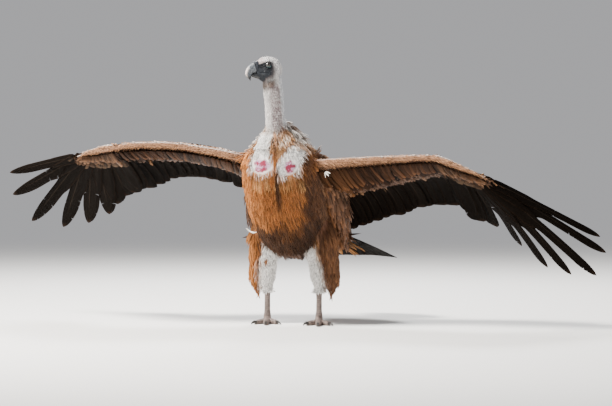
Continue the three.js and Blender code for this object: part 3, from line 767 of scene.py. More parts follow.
hackle = blade("hackle_blade", (0.12, 0.36, 0.5, 0.3), 0.11, 0.05,
               ((-0.42, 0.0, 0.90), (0.05, 0.05, 1.0), (0.45, 0.02, 0.84)))
plume = blade("plume_blade", (0.14, 0.40, 0.5, 0.5, 0.42), 0.05, 0.03)
shingle = blade("shingle_blade", (0.25, 0.45, 0.5, 0.42), 0.02, 0.06)
streamer = blade("streamer_blade", (0.10, 0.30, 0.42, 0.4, 0.3), 0.30, 0.03,
                 ((-0.12, 0.10, 0.95), (0.10, 0.20, 1.0)))
wisp = blade("wisp_blade", (0.3, 0.5, 0.3), 0.16, 0.05,
             ((-0.9, 0.05, 0.9), (0.05, 0.14, 1.0), (0.8, 0.02, 0.82)))


# Barbs streak each blade along its length, with a paler shaft and edge, and each blade differs.
def feather_paint(vary, shaft, edge, streak):
    def paint(sheet):
        along, across = sheet.attribute("along"), sheet.attribute("across")
        shade = sheet.attribute("shade")
        barbs = sheet.noise(
            sheet.vector(across * 9.0 + shade * 50.0, along * 2.0 + shade * 30.0), 1.5)
        rib = (1.0 - (across * across * 90.0).step(0.0, 1.0)) * (1.0 - along.step(0.7, 1.0)) * shaft
        rim = along.step(0.70, 1.0) * edge
        level = ((shade - 0.5) * vary + (barbs - 0.5) * streak * 2.0 + 1.0) * (0.30 + along * 0.75)
        return {"Base Color": sheet.attribute("coat", 0).scaled(level + rib + rim),
                "Normal": sheet.bump(barbs, 0.0006, 0.6)}
    return paint


body_finish = finish("body_feather", feather_paint(1.0, 0.5, 0.55, 0.5), Roughness=0.6,
                     Specular_IOR_Level=0.25)
covert_down = finish("small_covert", feather_paint(0.8, 0.2, 0.8, 0.4), Roughness=0.65,
                     Specular_IOR_Level=0.2)
down_finish = finish("down", feather_paint(0.25, 0.0, 0.15, 0.15), Roughness=0.85,
                     Specular_IOR_Level=0.2, Sheen_Weight=0.15)

white_down = np.clip(crop * (1 - wedge), 0, 1)
ahead_half = soft(0.05 - skin_at[:, 1], 0, 0.04)
low_half = soft(0.455 - skin_at[:, 2], -0.004, 0.004)
breast = (part["trunk"] + part["ruff"] * 0.9) * ahead_half * (1 - white_down)
head_down = part["head"] * (1 - 0.9 * face) * (1 - lid) * soft(
    np.hypot(ahead - EYE_AHEAD, upward), 0.012, 0.017)
# Each kind of feather: its name, where it grows and its slot; then its blade, finish, spacing,
# girth, lift, stray, sink and seed.
for name, share, slot, *values in (
        ("crop_down", white_down * (1 - 0.97 * thin), "neck_down",
         wisp, down_finish, 0.0028, 0.15, 0.25, 0.35, 0.001, 3),
        ("crop_rim", thin * crop * (1 - bare), "neck_down",
         wisp, down_finish, 0.0036, 0.12, 0.15, 0.9, 0.001, 14),
        ("breast_feathers", breast * (1 - low_half), "body_feathers",
         hackle, body_finish, 0.0056, 0.050, 0.11, 0.12, 0.001, 2),
        ("belly_feathers", breast * low_half, "body_feathers",
         hackle, body_finish, 0.0056, 0.050, 0.11, 0.14, 0.001, 15),
        ("ruff_plumes", part["ruff"] * (1 - ahead_half * 0.5) * (1 - crop) * 0.9, "ruff_feathers",
         streamer, body_finish, 0.0055, 0.12, 0.45, 0.35, 0.001, 12),
        ("back_feathers", part["trunk"] * (1 - ahead_half) + part["scapulars"], "body_feathers",
         plume, body_finish, 0.0100, 0.36, 0.07, 0.1, 0.001, 4),
        ("flank_feathers", part["flank"], "body_feathers",
         plume, body_finish, 0.0095, 0.24, 0.06, 0.08, 0.001, 5),
        ("thigh_feathers", part["thigh"], "body_feathers",
         hackle, body_finish, 0.0056, 0.050, 0.12, 0.10, 0.001, 6),
        ("shank_down", part["shank"], "leg_down",
         wisp, down_finish, 0.0036, 0.15, 0.26, 0.3, 0.001, 7),
        ("neck_down", part["neck"] * (1 - 0.8 * mauve_shade_side), "neck_down",
         wisp, down_finish, 0.0027, 0.17, 0.3, 0.35, 0.001, 8),
        ("head_down", head_down, "head_down",
         wisp, down_finish, 0.0019, 0.19, 0.24, 0.4, 0.0004, 9),
        ("wing_feathers", part["arm"] + part["hand"], "covert_feathers",
         shingle, covert_down, 0.0085, 0.46, 0.16, 0.16, 0.0004, 10),
        ("tail_coverts", part["rump"], "covert_feathers",
         plume, body_finish, 0.0090, 0.20, 0.07, 0.08, 0.001, 11)):
    ground = new_piece(name, skin.data.copy())
    store(ground.data, "grow", np.clip(share, 0, 1))
    scattering = ground.modifiers.new("growth", "NODES")
    scattering.node_group = growth
    for label, value in zip(list(growth_input)[1:], values):
        scattering[growth_input[label]] = value
    plain_mesh(ground)
    for spare in ("lie", "grow", "root_map", "face", "bare", "lid", "dusk", "lower", "unwrap",
                  "long"):
        if spare in ground.data.attributes:
            ground.data.attributes.remove(ground.data.attributes[spare])
    ground.data.uv_layers.active = ground.data.uv_layers["OFBake"]
    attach(ground, "root")

# ---------------------------------------------------------------------------------------------
# Flight feathers and the rows of coverts over their roots. Each is a stiff shaft with a vane on
# either side, bowed along its length and cambered across, its edge worn and split in places.

VANE_ROWS, VANE_CAMBER = 28, 0.10
VANE_WIDE = np.array([-1, -0.5, -0.06, 0, 0.06, 0.5, 1, 0.5, 0.06, 0, -0.06, -0.5])
VANE_TOP = np.array([0, 1, 1, 2.2, 1, 1, 0, -1, -1, -2.0, -1, -1])
NICK_ON_INNER, NICK_ON_OUTER, DEEPEST_NICK = 0.6, 0.4, 0.85


# The rows of a set of vanes, as shares of their length, and how much of each edge is left there:
# a nick is three close rows, the middle one drawn in towards the shaft.
def nicked(count, nicks, deep, seed, rows=VANE_ROWS):
    pick = np.random.default_rng(seed)
    even = np.tile(1 - (1 - np.linspace(0, 1, rows)) ** 1.25, (count, 1))
    centre = pick.uniform(0.28, 0.97, (count, nicks))
    mouth = pick.uniform(0.003, 0.007, (count, nicks))
    share = np.concatenate([even, centre - mouth, centre, centre + mouth], axis=1)
    loss = np.zeros((*share.shape, 2))
    edge = pick.uniform(0, 1, (count, nicks, 1)) < np.array([NICK_ON_INNER, NICK_ON_OUTER])
    loss[:, rows + nicks:rows + 2 * nicks] = (
        edge * pick.uniform(0.05, 1, (count, nicks, 1)) ** 1.5 * np.reshape(deep, (-1, 1, 1)))
    order = np.argsort(share, axis=1)
    return (np.take_along_axis(np.clip(share, 0, 1), order, 1),
            1 - np.clip(np.take_along_axis(loss, order[..., None], 1), 0, DEEPEST_NICK))


# The four-sided faces between neighbouring rings of points.
def ring_faces(index):
    here, there = index[..., :-1, :], index[..., 1:, :]
    return np.stack([here, np.roll(here, -1, -1), np.roll(there, -1, -1), there],
                    axis=-1).reshape(-1, 4).tolist()


# A finished piece of its own, in place of the nodes that it stands for.
def place_piece(mesh, paint, slot, *nodes):
    mesh.materials.append(paint)
    piece = new_piece(mesh.name, mesh)
    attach(piece, "root")
    if nodes:
        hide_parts(*nodes)


# Joined vanes: spine is each shaft's line, out the way to the outer edge, up the upper side.
def vanes(name, spine, out, up, inner, outer, worn, tone, paint, slot, *nodes, thick=0.00045,
          twist=0.06, slant=0.45, seed=1):
    count, rows = spine.shape[:2]
    way = unit(np.gradient(spine, axis=1))
    out, up = (square_to(way, np.broadcast_to(v, (count, 3))[:, None]) for v in (out, up))
    wide = np.where(VANE_WIDE < 0, (inner * worn[..., 0])[..., None],
                    (outer * worn[..., 1])[..., None])
    reach = VANE_WIDE * wide
    tall = VANE_TOP * thick - VANE_CAMBER * VANE_WIDE ** 2 * np.abs(wide) + twist * reach
    line = np.linalg.norm(np.diff(spine, axis=1), axis=2)
    length = np.concatenate([np.zeros((count, 1)), np.cumsum(line, axis=1)], axis=1)
    forward = slant * np.abs(reach) * np.clip((length[:, -1:] - length) / 0.03, 0, 1)[..., None]
    at = (spine[:, :, None] + out[:, :, None] * reach[..., None] + up[:, :, None] * tall[..., None]
          + way[:, :, None] * forward[..., None])
    ring = len(VANE_WIDE)
    index = np.arange(count * rows * ring).reshape(count, rows, ring)
    caps = [tuple(r[::-1]) for r in index[:, 0]] + [tuple(r) for r in index[:, -1]]
    mesh = closed_mesh(name, at.reshape(-1, 3).tolist(), ring_faces(index) + caps)
    flat = np.broadcast_to
    share = length / length[:, -1:]
    own_shade = np.random.default_rng(seed).uniform(0, 1, (count, 1, 1))
    tone = flat(np.reshape(tone, (-1, 1, 1, 3)), (*index.shape, 3))
    store(mesh, "along", flat(share[..., None], index.shape))
    store(mesh, "across", flat(VANE_WIDE, index.shape))
    store(mesh, "barb", length[..., None] - 0.7 * np.abs(reach))
    store(mesh, "shade", flat(own_shade, index.shape))
    store(mesh, "coat", np.insert(tone, 3, 1, axis=3))
    # Each vane has its own strip of the baked map, its upper side beside its lower one.
    corner = np.empty(len(mesh.loops), np.int32)
    mesh.loops.foreach_get("vertex_index", corner)
    n, rest = np.divmod(corner, rows * ring)
    row, k = np.divmod(rest, ring)
    half = np.where(k > 6, 0.5, 0.0) + 0.02 + 0.22 * (VANE_WIDE[k] + 1)
    strips = np.stack([(n + half) / count, 0.01 + 0.98 * share[n, row]], axis=1)
    mesh.uv_layers.new(name="OFBake").data.foreach_set("uv", strips.astype(np.float32).ravel())
    place_piece(mesh, paint, slot, *nodes)


# A vane's half width along its length: a bare quill, full breadth, then a round or drawn-out tip.
def outline(share, full, quill=0.06, tip=0.86, drawn=2.0, neck=1.0, narrow=1.0):
    width = full * soft(share, 0, quill) * (1 - (1 - narrow) * soft(share, neck, neck + 0.12))
    end = np.clip((share - tip) / (1 - tip), 0, 1)
    return np.maximum(width * (1 - end ** drawn) ** (1 / drawn), 0.0005)


def flight_paint(sheet):
    along, across = sheet.attribute("along"), sheet.attribute("across")
    shade, barb = sheet.attribute("shade"), sheet.attribute("barb")
    barbs = sheet.noise(sheet.vector(barb * 260.0 + shade * 60.0, across * 1.5), 1.0, 3.0, 0.6)
    dark = sheet.attribute("coat", 0).scaled((shade - 0.5) * 0.5 + (barbs - 0.5) * 0.9 + 1.0)
    rib = (1.0 - (across * across * 260.0).step(0.2, 1.0)) * (1.0 - along.step(0.6, 0.95)) * 0.5
    rim = (across * across).step(0.6, 1.0) * 0.22 + along.step(0.93, 1.0) * 0.25
    base = rib.mix(rim.mix(dark, (0.060, 0.034, 0.021, 1)), (0.030, 0.021, 0.015, 1))
    wave = sheet.math("SINE", barb * 3140.0)
    return {"Base Color": base, "Normal": sheet.bump(wave + barbs * 3.0, 0.00025, 0.7)}


flight_finish = finish("flight_feather", flight_paint, Roughness=0.8, Specular_IOR_Level=0.02)
SECONDARY_COUNT, FEATHER_BOW, PRIMARY_BOW = 18, 0.016, 0.014
SECONDARY_DARK, PRIMARY_DARK = (0.0042, 0.0028, 0.0020), (0.0042, 0.0029, 0.0021)
# Half widths, inner then outer, each with the share of it left past the narrowing, and where
# along the feather the narrowing starts.
#    P1     P2     P3     P4     P5     P6     P7     P8     P9     P10
PRIMARY_FORM = np.array([
    (0.050, 0.052, 0.052, 0.050, 0.044, 0.042, 0.038, 0.034, 0.030, 0.022),
    (1.00, 1.00, 0.95, 0.80, 0.62, 0.62, 0.58, 0.56, 0.55, 0.58),
    (0.026, 0.026, 0.025, 0.024, 0.022, 0.021, 0.019, 0.017, 0.015, 0.012),
    (1.0, 1.0, 1.0, 0.9, 0.78, 0.72, 0.70, 0.68, 0.68, 0.8),
    (0.9, 0.9, 0.8, 0.62, 0.50, 0.46, 0.42, 0.40, 0.38, 0.36)])[..., None]
# How far the nicks cut into each primary.
RAGGED = {"left": (0.3, 0.3, 0.4, 0.5, 1.6, 0.6, 0.5, 0.4, 0.5, 0.3),
          "right": (0.3, 0.4, 0.3, 0.4, 0.6, 0.9, 0.5, 0.5, 0.8, 0.3)}


def behind(side, reach, distance, height):
    base = leading_edge(side, reach)[..., None, :]
    return (base + feather_way(side, reach)[..., None, :] * distance[..., None]
            + wing_up(side, reach)[..., None, :] * height[..., None])


# The height of the flight feathers over the straight line behind the flesh, as they bow.
def bow_height(reach, distance, length):
    start = wing_chord(reach)[..., None] + 0.0025
    u = np.clip((distance - start) / (length - start), 0, 1)
    return FEATHER_BOW * 4 * u * (1 - u)


for side, sign in SIDES.items():
    pick = np.random.default_rng(4 + sign)
    reach = np.linspace(-0.15, 0.975, SECONDARY_COUNT)
    length = SECONDARY_LENGTH - 0.115 * np.maximum(0, 1 - np.arange(SECONDARY_COUNT) / 3) ** 2
    length = length + pick.uniform(-0.010, 0.005, SECONDARY_COUNT)
    start = wing_chord(reach) * 0.45
    share, worn = nicked(SECONDARY_COUNT, 4, 0.3, 60 + sign)
    distance = start[:, None] + share * (length - start)[:, None]
    spine = behind(side, reach, distance, bow_height(reach, distance, length[:, None]))
    spine += arm_way(side) * (pick.uniform(-0.008, 0.008, (SECONDARY_COUNT, 1)) * share)[..., None]
    tone = np.multiply.outer(1 + 1.2 * soft(0.15 - reach, 0, 0.25), SECONDARY_DARK)
    vanes(f"secondary_feathers_{side}", spine, arm_way(side), wing_up(side, reach),
          outline(share, 0.038, drawn=2.4), outline(share, 0.026, tip=0.88), worn, tone,
          flight_finish, "flight_feathers", f"secondaries_{side}", seed=21)

    # Ten primaries from the hand, the outer ones narrowed to fingers and standing apart.
    count = len(PRIMARY_LENGTH)
    way = pointing(side, WINGS[side]["primary_sweep"], WINGS[side]["primary_drop"])
    root = leading_edge(side, 1 + PRIMARY_ROOT)
    near_tip = root + way * PRIMARY_LENGTH[:, None] * 0.9
    up = sign * unit(np.cross(np.gradient(near_tip, axis=0), way))
    out = sign * np.cross(way, up)
    start = np.clip(wing_chord(1 + PRIMARY_ROOT) * 0.4, 0.01, 1)
    share, worn = nicked(count, 8, RAGGED[side], 80 + sign)
    distance = start[:, None] + share * (PRIMARY_LENGTH - start)[:, None]
    arc = PRIMARY_BOW * 4 * share * (1 - share)
    bend = WINGS[side]["tip_bend"] * share ** 2 * soft(np.arange(count), 2, 5)[:, None]
    spine = (root[:, None] + way[:, None] * distance[..., None] + up[:, None] * arc[..., None]
             + out[:, None] * (bend + 0.008 * share)[..., None])
    full, tip_share, outer_full, outer_tip, narrowing = PRIMARY_FORM
    point = 0.84
    if side == "right":
        full, outer_full, point = full * 1.08, outer_full * 1.2, 0.68
        tip_share, outer_tip = tip_share ** 0.35, outer_tip ** 0.4
    inner = outline(share, full, tip=point, drawn=1.6, neck=narrowing, narrow=tip_share)
    outer = outline(share, outer_full, tip=point + 0.03, drawn=1.7, neck=narrowing - 0.05,
                    narrow=outer_tip)
    vanes(f"primary_feathers_{side}", spine, out, up, inner, outer, worn, PRIMARY_DARK,
          flight_finish, "flight_feathers", f"primaries_{side}", thick=0.00055,
          seed=31 + sign)

# Rows of coverts, above and below: where each starts and ends behind the edge, and its colours.
covert_finish = finish("covert_feather", feather_paint(0.9, 0.3, 0.9, 0.45), Roughness=0.75,
                       Specular_IOR_Level=0.05)
COVERTS = {
    # name: face, start as share of chord, end past it, half width, lift, count, tone
    "greater_upper": (1, 0.50, 0.080, 0.019, 0.0020, 28, (0.075, 0.044, 0.026)),
    "median_upper": (1, 0.42, 0.030, 0.015, 0.0035, 34, (0.145, 0.075, 0.037)),
    "lesser_upper": (1, 0.26, -0.028, 0.012, 0.0040, 42, (0.19, 0.098, 0.048)),
    # The under rows are darker than their own brown as painted shade on the wing's underside.
    "greater_under": (-1, 0.55, 0.042, 0.015, 0.0030, 32, (0.0062, 0.0030, 0.0017)),
    "median_under": (-1, 0.34, 0.006, 0.012, 0.0055, 38, (0.0120, 0.0050, 0.0023)),
    "lesser_under": (-1, 0.16, -0.030, 0.010, 0.0070, 44, (0.045, 0.0185, 0.0078)),
}
for side in SIDES:
    for order, (name, row) in enumerate(COVERTS.items()):
        face_up, begin, past, half, lifted, count, tone = row
        pick = np.random.default_rng(100 + order)
        reach = np.concatenate([np.linspace(0.0, 0.98, count), np.linspace(1.03, 1.9, count // 2)])
        total = len(reach)
        reach = reach + pick.uniform(-0.010, 0.010, total)
        on_hand = reach > 1
        chord = wing_chord(reach)
        wide = (np.where(on_hand, 0.8, 1.0) * pick.uniform(0.8, 1.15, total))[:, None]
        start = begin * chord
        stop = chord * 0.98 + past * np.where(on_hand, 0.75, 1) + pick.uniform(
            -0.016, 0.010, total)
        share, worn = nicked(total, 1, 0.3, 120 + order, rows=15)
        distance = start[:, None] + share * (stop - start)[:, None]
        bow = ~on_hand[:, None] * bow_height(reach, distance, SECONDARY_LENGTH)
        swell = wing_swell(reach[:, None], distance / chord[:, None])
        spine = behind(side, reach, distance, face_up * (swell + lifted + 0.002 * share) + bow)
        out = outward(side, reach)
        spine += out[:, None] * (pick.uniform(-0.016, 0.016, (total, 1)) * share)[..., None]
        tones = np.array(tone) * pick.uniform(0.55, 1.5, (total, 1))
        if face_up < 0:
            tones = blend(tones, (0.085, 0.036, 0.014),
                          soft(0.34 - reach, 0, 0.2) * pick.uniform(0, 0.8, total))
            tones = blend(tones, (0.11, 0.058, 0.032),
                          soft(reach - 1, 0, 0.1) * pick.uniform(0.2, 0.9, total))
        if name.startswith("greater"):
            tones = tones * np.where(on_hand, 0.45, 1.0)[:, None]
        vanes(f"{name}_{side}", spine, out, face_up * wing_up(side, reach),
              outline(share, half, quill=0.1, tip=0.70, drawn=2.3) * wide,
              outline(share, half * 0.85, quill=0.1, tip=0.72, drawn=2.3) * wide, worn,
              tones, covert_finish, "covert_feathers", thick=0.0004,
              twist=0.05 * face_up, slant=0.2, seed=41 + order)

    # The alula: four short stiff feathers that lie along the front of the hand.
    place = np.array([1.08, 1.12, 1.16, 1.20])
    share, worn = nicked(4, 2, 0.3, 140, rows=14)
    along_hand = unit(hand_way(side) + 0.22 * feather_way(side, 1.15))
    distance = share * np.array([0.070, 0.085, 0.100, 0.110])[:, None]
    root = leading_edge(side, place) + feather_way(side, place) * (
        0.010 + 0.010 * np.arange(4))[:, None] + wing_up(side, place) * 0.008
    spine = root[:, None] + along_hand * distance[..., None]
    vanes(f"alula_{side}", spine, -feather_way(side, place), wing_up(side, place),
          outline(share, 0.015, tip=0.7, drawn=1.8), outline(share, 0.008, tip=0.8), worn,
          (0.030, 0.021, 0.015), flight_finish, "covert_feathers", seed=61)

# Loose white down: one curled feather caught on the right thigh, and a tuft under the left wing.
share, worn = nicked(4, 3, 0.6, 160, rows=14)
start = body_origin + np.array([(-0.136, -0.030, 0.352), *((0.172, -0.048, 0.553),) * 3])
end = body_origin + np.array([(-0.080, -0.066, 0.340), (0.197, -0.056, 0.552),
                              (0.194, -0.062, 0.542), (0.183, -0.066, 0.538)])
sag = np.array([-0.008, 0.003, 0.002, -0.002])[:, None] * 4 * share * (1 - share)
spine = (start[:, None] + (end - start)[:, None] * share[..., None]
         + np.array([0, -0.4, 1.0]) * sag[..., None])
vanes("loose_down", spine, UP, (0, -1.0, 0.2), outline(share, 0.0032, tip=0.5, drawn=1.2),
      outline(share, 0.0036, tip=0.5, drawn=1.2), worn, (0.86, 0.82, 0.76), down_finish,
      "body_feathers", seed=161)

# ---------------------------------------------------------------------------------------------
# Tail. Twelve broad stiff feathers fan from the rump, swung to the bird's left and drooping.

TAIL_COUNT, TAIL_LENGTH, TAIL_FAN = 12, 0.352, 36
tail_root = body_origin + np.array([0.010, 0.300, 0.360])
swing = np.linspace(-TAIL_FAN + 2, TAIL_FAN - 2, TAIL_COUNT)
way = pointing("left", TAIL_SWEEP - swing, TAIL_DROP)
share, worn = nicked(TAIL_COUNT, 6, 0.6, 52)
length = TAIL_LENGTH - 0.012 * (swing / TAIL_FAN) ** 2
distance = 0.03 + share * (length - 0.03)[:, None]
u = (distance - 0.02) / (TAIL_LENGTH - 0.02)
middle = (TAIL_COUNT - 1) / 2
stacked = 0.0012 * (middle - np.abs(np.arange(TAIL_COUNT) - middle))[:, None]
rise = 0.006 * 4 * u * (1 - u) + stacked * u
spine = tail_root + way[:, None] * distance[..., None] + UP * rise[..., None]
up = unit(np.cross(np.gradient(way, axis=0), way))
up = up * np.sign(up[:, 2:])
out = np.cross(way, up) * np.sign(swing)[:, None]
vanes("tail_vanes", spine, out, up, outline(share, 0.034, tip=0.88, drawn=2.2),
      outline(share, 0.026, tip=0.9, drawn=2.2), worn, (0.0040, 0.0029, 0.0022), flight_finish,
      "flight_feathers", "tail_feathers", seed=51, twist=-0.03)
# Long soft coverts lie over and under its roots.
for name, face_up, reach_out, hang, tone in (
        ("undertail_coverts", -1, 0.225, 24, (0.17, 0.080, 0.031)),
        ("uppertail_coverts", 1, 0.120, 0, (0.15, 0.075, 0.036))):
    pick = np.random.default_rng(70 + face_up)
    count = 28 + abs(hang)
    swing = np.linspace(-34, 34, count) + pick.uniform(-3, 3, count)
    layer = pick.uniform(0, 1, count)
    way = pointing("left", TAIL_SWEEP - swing, TAIL_DROP - 3 * face_up + hang * layer)
    share, worn = nicked(count, 2, 0.3, 150, rows=12)
    reach_out = reach_out * pick.uniform(0.75, 1.1, count) * (1 - 0.012 * hang * layer)
    distance = -0.055 + share * (0.055 + reach_out)[:, None]
    height = face_up * (0.026 - 0.020 * soft(distance, 0.0, 0.15))
    spine = tail_root + way[:, None] * distance[..., None] + UP * height[..., None]
    up = face_up * UP
    out = unit(np.cross(way, up)) * np.sign(swing)[:, None]
    vanes(name, spine, out, up, outline(share, 0.022, tip=0.55, drawn=1.7),
          outline(share, 0.019, tip=0.55, drawn=1.7), worn,
          np.array(tone) * pick.uniform(0.6, 1.3, (count, 1)), covert_finish, "covert_feathers",
          thick=0.0004, seed=71)

# ---------------------------------------------------------------------------------------------
# Eyes. Each is a glossy ball set in its lids: a black pupil in a dark brown iris, and a clear
# cornea that swells a little at the front.

CORNEA = (0.80, 0.93)      # how far towards the gaze the cornea starts to swell, and has swollen


def eye_paint(sheet):
    gaze = sheet.attribute("gaze")
    fleck = sheet.noise(sheet.place(), 1400.0, 3.0)
    iris = (gaze + fleck * 0.02).step(*CORNEA).mix((0.007, 0.004, 0.003, 1),
                                                   (0.026, 0.013, 0.006, 1))
    base = gaze.step(0.905, 0.915).mix(iris, (0.002, 0.002, 0.002, 1))
    return {"Base Color": (1.0 - gaze.step(0.74, 0.80)).mix(base, (0.012, 0.010, 0.010, 1))}


eye_finish = finish("eye", eye_paint, Roughness=0.12, Coat_Weight=0.5, Coat_Roughness=0.03)
for side, sign in SIDES.items():
    ball = bmesh.new()
    bmesh.ops.create_uvsphere(ball, u_segments=48, v_segments=32, radius=EYE_RADIUS - 0.0002)
    mesh = bpy.data.meshes.new(f"eyeball_{side}")
    ball.to_mesh(mesh)
    ball.free()
    at = read(mesh)
    gaze = (at / EYE_RADIUS) @ unit(sign * head_left + 0.30 * head_ahead + 0.03 * head_up)
    put(mesh, at * (1 + 0.06 * soft(gaze, *CORNEA)[:, None]) + eye_centres[side])
    store(mesh, "gaze", gaze)
    mesh.shade_smooth()
    place_piece(mesh, eye_finish, "eye", f"eye_{side}")

# ---------------------------------------------------------------------------------------------
# Bill. A deep hooked horn sheath over a lower one that fits inside it; a swollen dark cere covers
# its base, with an upright slit of a nostril on each side.

def smooth_rows(rows, per):
    rows = np.array(rows, float)
    t = np.linspace(0, len(rows) - 1, per * (len(rows) - 1) + 1)
    i = np.minimum(t.astype(int), len(rows) - 2)
    f = (t - i)[:, None]
    slope = np.gradient(rows, axis=0)
    return (rows[i] * (2 * f ** 3 - 3 * f ** 2 + 1) + slope[i] * (f ** 3 - 2 * f ** 2 + f)
            + rows[i + 1] * (3 * f ** 2 - 2 * f ** 3) + slope[i + 1] * (f ** 3 - f ** 2))


# A closed tube through stations of centre, half width and half height; returns its mesh, and each
# point's share along it and angle round it.
def tube(name, stations, across, sides, per, square=1.0, swell=None):
    rows = smooth_rows(stations, per)
    centre, half, height = rows[:, :3], rows[:, 3:4], rows[:, 4:5]
    over = unit(np.cross(unit(np.gradient(centre, axis=0)), across))
    turn = 2 * math.pi * np.arange(sides) / sides
    share = np.linspace(0, 1, len(rows))
    wide, tall = (np.sign(v) * np.abs(v) ** square for v in (np.cos(turn), np.sin(turn)))
    size = 1.0 if swell is None else swell(share[:, None], turn[None])
    at = (centre[:, None] + np.asarray(across) * (half * wide * size)[..., None]
          + over[:, None] * (height * tall * size)[..., None])
    index = np.arange(len(rows) * sides).reshape(len(rows), sides)
    last = index.size
    ends = [(last, b, a) for a, b in zip(index[0], np.roll(index[0], -1))]
    ends += [(last + 1, a, b) for a, b in zip(index[-1], np.roll(index[-1], -1))]
    mesh = closed_mesh(name, np.vstack([at.reshape(-1, 3), centre[:1], centre[-1:]]).tolist(),
                       ring_faces(index) + ends)
    return (mesh, np.concatenate([np.repeat(share, sides), [0, 1]]),
            np.concatenate([np.tile(turn, len(rows)), [0, 0]]))


def head_stations(rows):
    return [(*in_head(ahead, 0, (top + bottom) / 2), half, (top - bottom) / 2)
            for ahead, top, bottom, half in np.array(rows) / 1000]


CERE_END, NOSTRIL_AT, NOSTRIL_TURN = 0.27, 0.20, 0.42


# How near each point is to either nostril, over a given length and turn.
def nostrils(share, turn, length, wide):
    return sum(peak(share - NOSTRIL_AT, length, turn - at, wide)
               for at in (NOSTRIL_TURN, math.pi - NOSTRIL_TURN))


def bill_swell(share, turn):
    cere = 1 - soft(share, CERE_END - 0.02, CERE_END + 0.02)
    lip = 0.075 * cere * soft(np.sin(turn), -0.6, -0.2)
    ridge = 0.05 * peak(turn - math.pi / 2, 0.35) * soft(share, 0.3, 0.5)
    tomium = 0.05 * np.sin(share * 21) * soft(-np.sin(turn), 0.5, 0.8) * soft(share, 0.15, 0.3)
    return 1 + lip + ridge + tomium - 0.16 * nostrils(share, turn, 0.017, 0.20)


def horn_paint(sheet):
    along, over, low = sheet.attribute("along"), sheet.attribute("over"), sheet.attribute("low")
    grain, fine_grain = sheet.noise(sheet.place(), 140.0, 4.0), sheet.noise(sheet.place(), 900.0)
    horn = grain.step(0.35, 0.65).mix((0.055, 0.066, 0.082, 1), (0.135, 0.145, 0.155, 1))
    pale = along.step(0.42, 0.62) * over.step(0.35, 0.95) * 0.9
    horn = pale.mix(horn, (0.60, 0.52, 0.48, 1))
    horn = along.step(0.70, 0.84).mix(horn, (0.012, 0.011, 0.012, 1))
    horn = ((1.0 - over.step(-0.9, -0.35)) * 0.75).mix(horn, (0.05, 0.05, 0.055, 1))
    horn = (low * 0.95).mix(horn, (0.014, 0.015, 0.017, 1))
    cere = (1.0 - along.step(CERE_END - 0.02, CERE_END + 0.01)) * (1.0 - low)
    base = cere.mix(horn, (0.011, 0.014, 0.021, 1))
    base = sheet.attribute("pit").mix(base, (0.003, 0.003, 0.003, 1))
    return {"Base Color": base, "Roughness": cere * 0.25 + 0.32 + grain * 0.1,
            "Normal": sheet.bump(grain * 2.0 + fine_grain, 0.0006, 0.6)}


horn_finish = finish("horn", horn_paint, Specular_IOR_Level=0.4)
# Stations along each half, in mm from the middle of the eyes: ahead, top, bottom, half width.
BILL = {
    "bill_upper": ((30, 12, -24, 12), (39, 14, -27, 15), (50, 9.5, -28, 12.5),
                   (59, 2.5, -30, 10.5), (66, -7, -34, 8.3), (68.5, -18, -44, 5.2),
                   (66.5, -42, -50, 2.2), (64.5, -52.5, -54, 0.6)),
    "bill_lower": ((26, -26, -49, 12.5), (37, -25, -47, 12), (49, -25.5, -44, 9.5),
                   (60, -28, -39, 6)),
}
for node, rows in BILL.items():
    upper = node == "bill_upper"
    mesh, along, turn = tube(node + "_sheath", head_stations(rows), head_left, 48, 12,
                             0.85, bill_swell if upper else None)
    slit = np.clip(nostrils(along, turn, 0.012, 0.15) * 1.6, 0, 1)
    for name, values in (("along", along), ("over", np.sin(turn)),
                         ("low", np.full(len(along), not upper)), ("pit", slit * upper)):
        store(mesh, name, values)
    place_piece(mesh, horn_finish, "bill", node)

# ---------------------------------------------------------------------------------------------
# Feet. A bare scaly shank with the toes, in one skin: broad scutes cross the front and the tops
# of the toes, small scales cover the rest, and pads swell underneath. The claws are smooth horn.

FOOT_SIDE, FOOT_BACK, FOOT_TURN, FOOT_TOP = 0.1, 0.095, 17, 0.030
LEG_VOXEL, LEG_SWELL, SCUTE = 0.0016, 0.0012, 0.0062
# Each toe's heading from straight ahead, its length, and its thickness at the claw.
TOES = {"middle": (0, 0.098, 0.0105), "inner": (-34, 0.070, 0.0095),
        "outer": (34, 0.070, 0.009), "hind": (172, 0.046, 0.0095)}
# The claw's stations: ahead of the toe's end, height as a share of its thickness, half width and
# half height.
CLAW = ((-0.007, 0.75, 0.0046, 0.0050), (0.000, 1.0, 0.0049, 0.0056),
        (0.006, 1.1, 0.0045, 0.0052), (0.012, 1.03, 0.0039, 0.0046),
        (0.018, 0.84, 0.0032, 0.0038), (0.023, 0.55, 0.0022, 0.0026))
CLAW_TIP = (0.027, 0.0018, 0.0007, 0.0008)


def scale_paint(sheet):
    place = sheet.place()
    cells = sheet.node("ShaderNodeTexVoronoi", {"feature": "DISTANCE_TO_EDGE"},
                       {"Vector": place, "Scale": 330.0})
    patch = sheet.noise(place, 70.0, 3.0)
    small = cells.step(0.0, 0.12)
    base = patch.step(0.3, 0.7).mix((0.13, 0.100, 0.088, 1), (0.27, 0.205, 0.180, 1))
    base = ((1.0 - small) * 0.55).mix(base, (0.06, 0.045, 0.04, 1))
    base = (sheet.attribute("groove") * 0.8).mix(base, (0.07, 0.05, 0.045, 1))
    return {"Base Color": base, "Roughness": 0.5 + patch * 0.2,
            "Normal": sheet.bump(small + patch * 0.4, 0.0009, 0.8)}


def claw_paint(sheet):
    return {"Base Color": sheet.noise(sheet.place(), 220.0, 3.0).mix(
        (0.012, 0.011, 0.011, 1), (0.05, 0.045, 0.042, 1))}


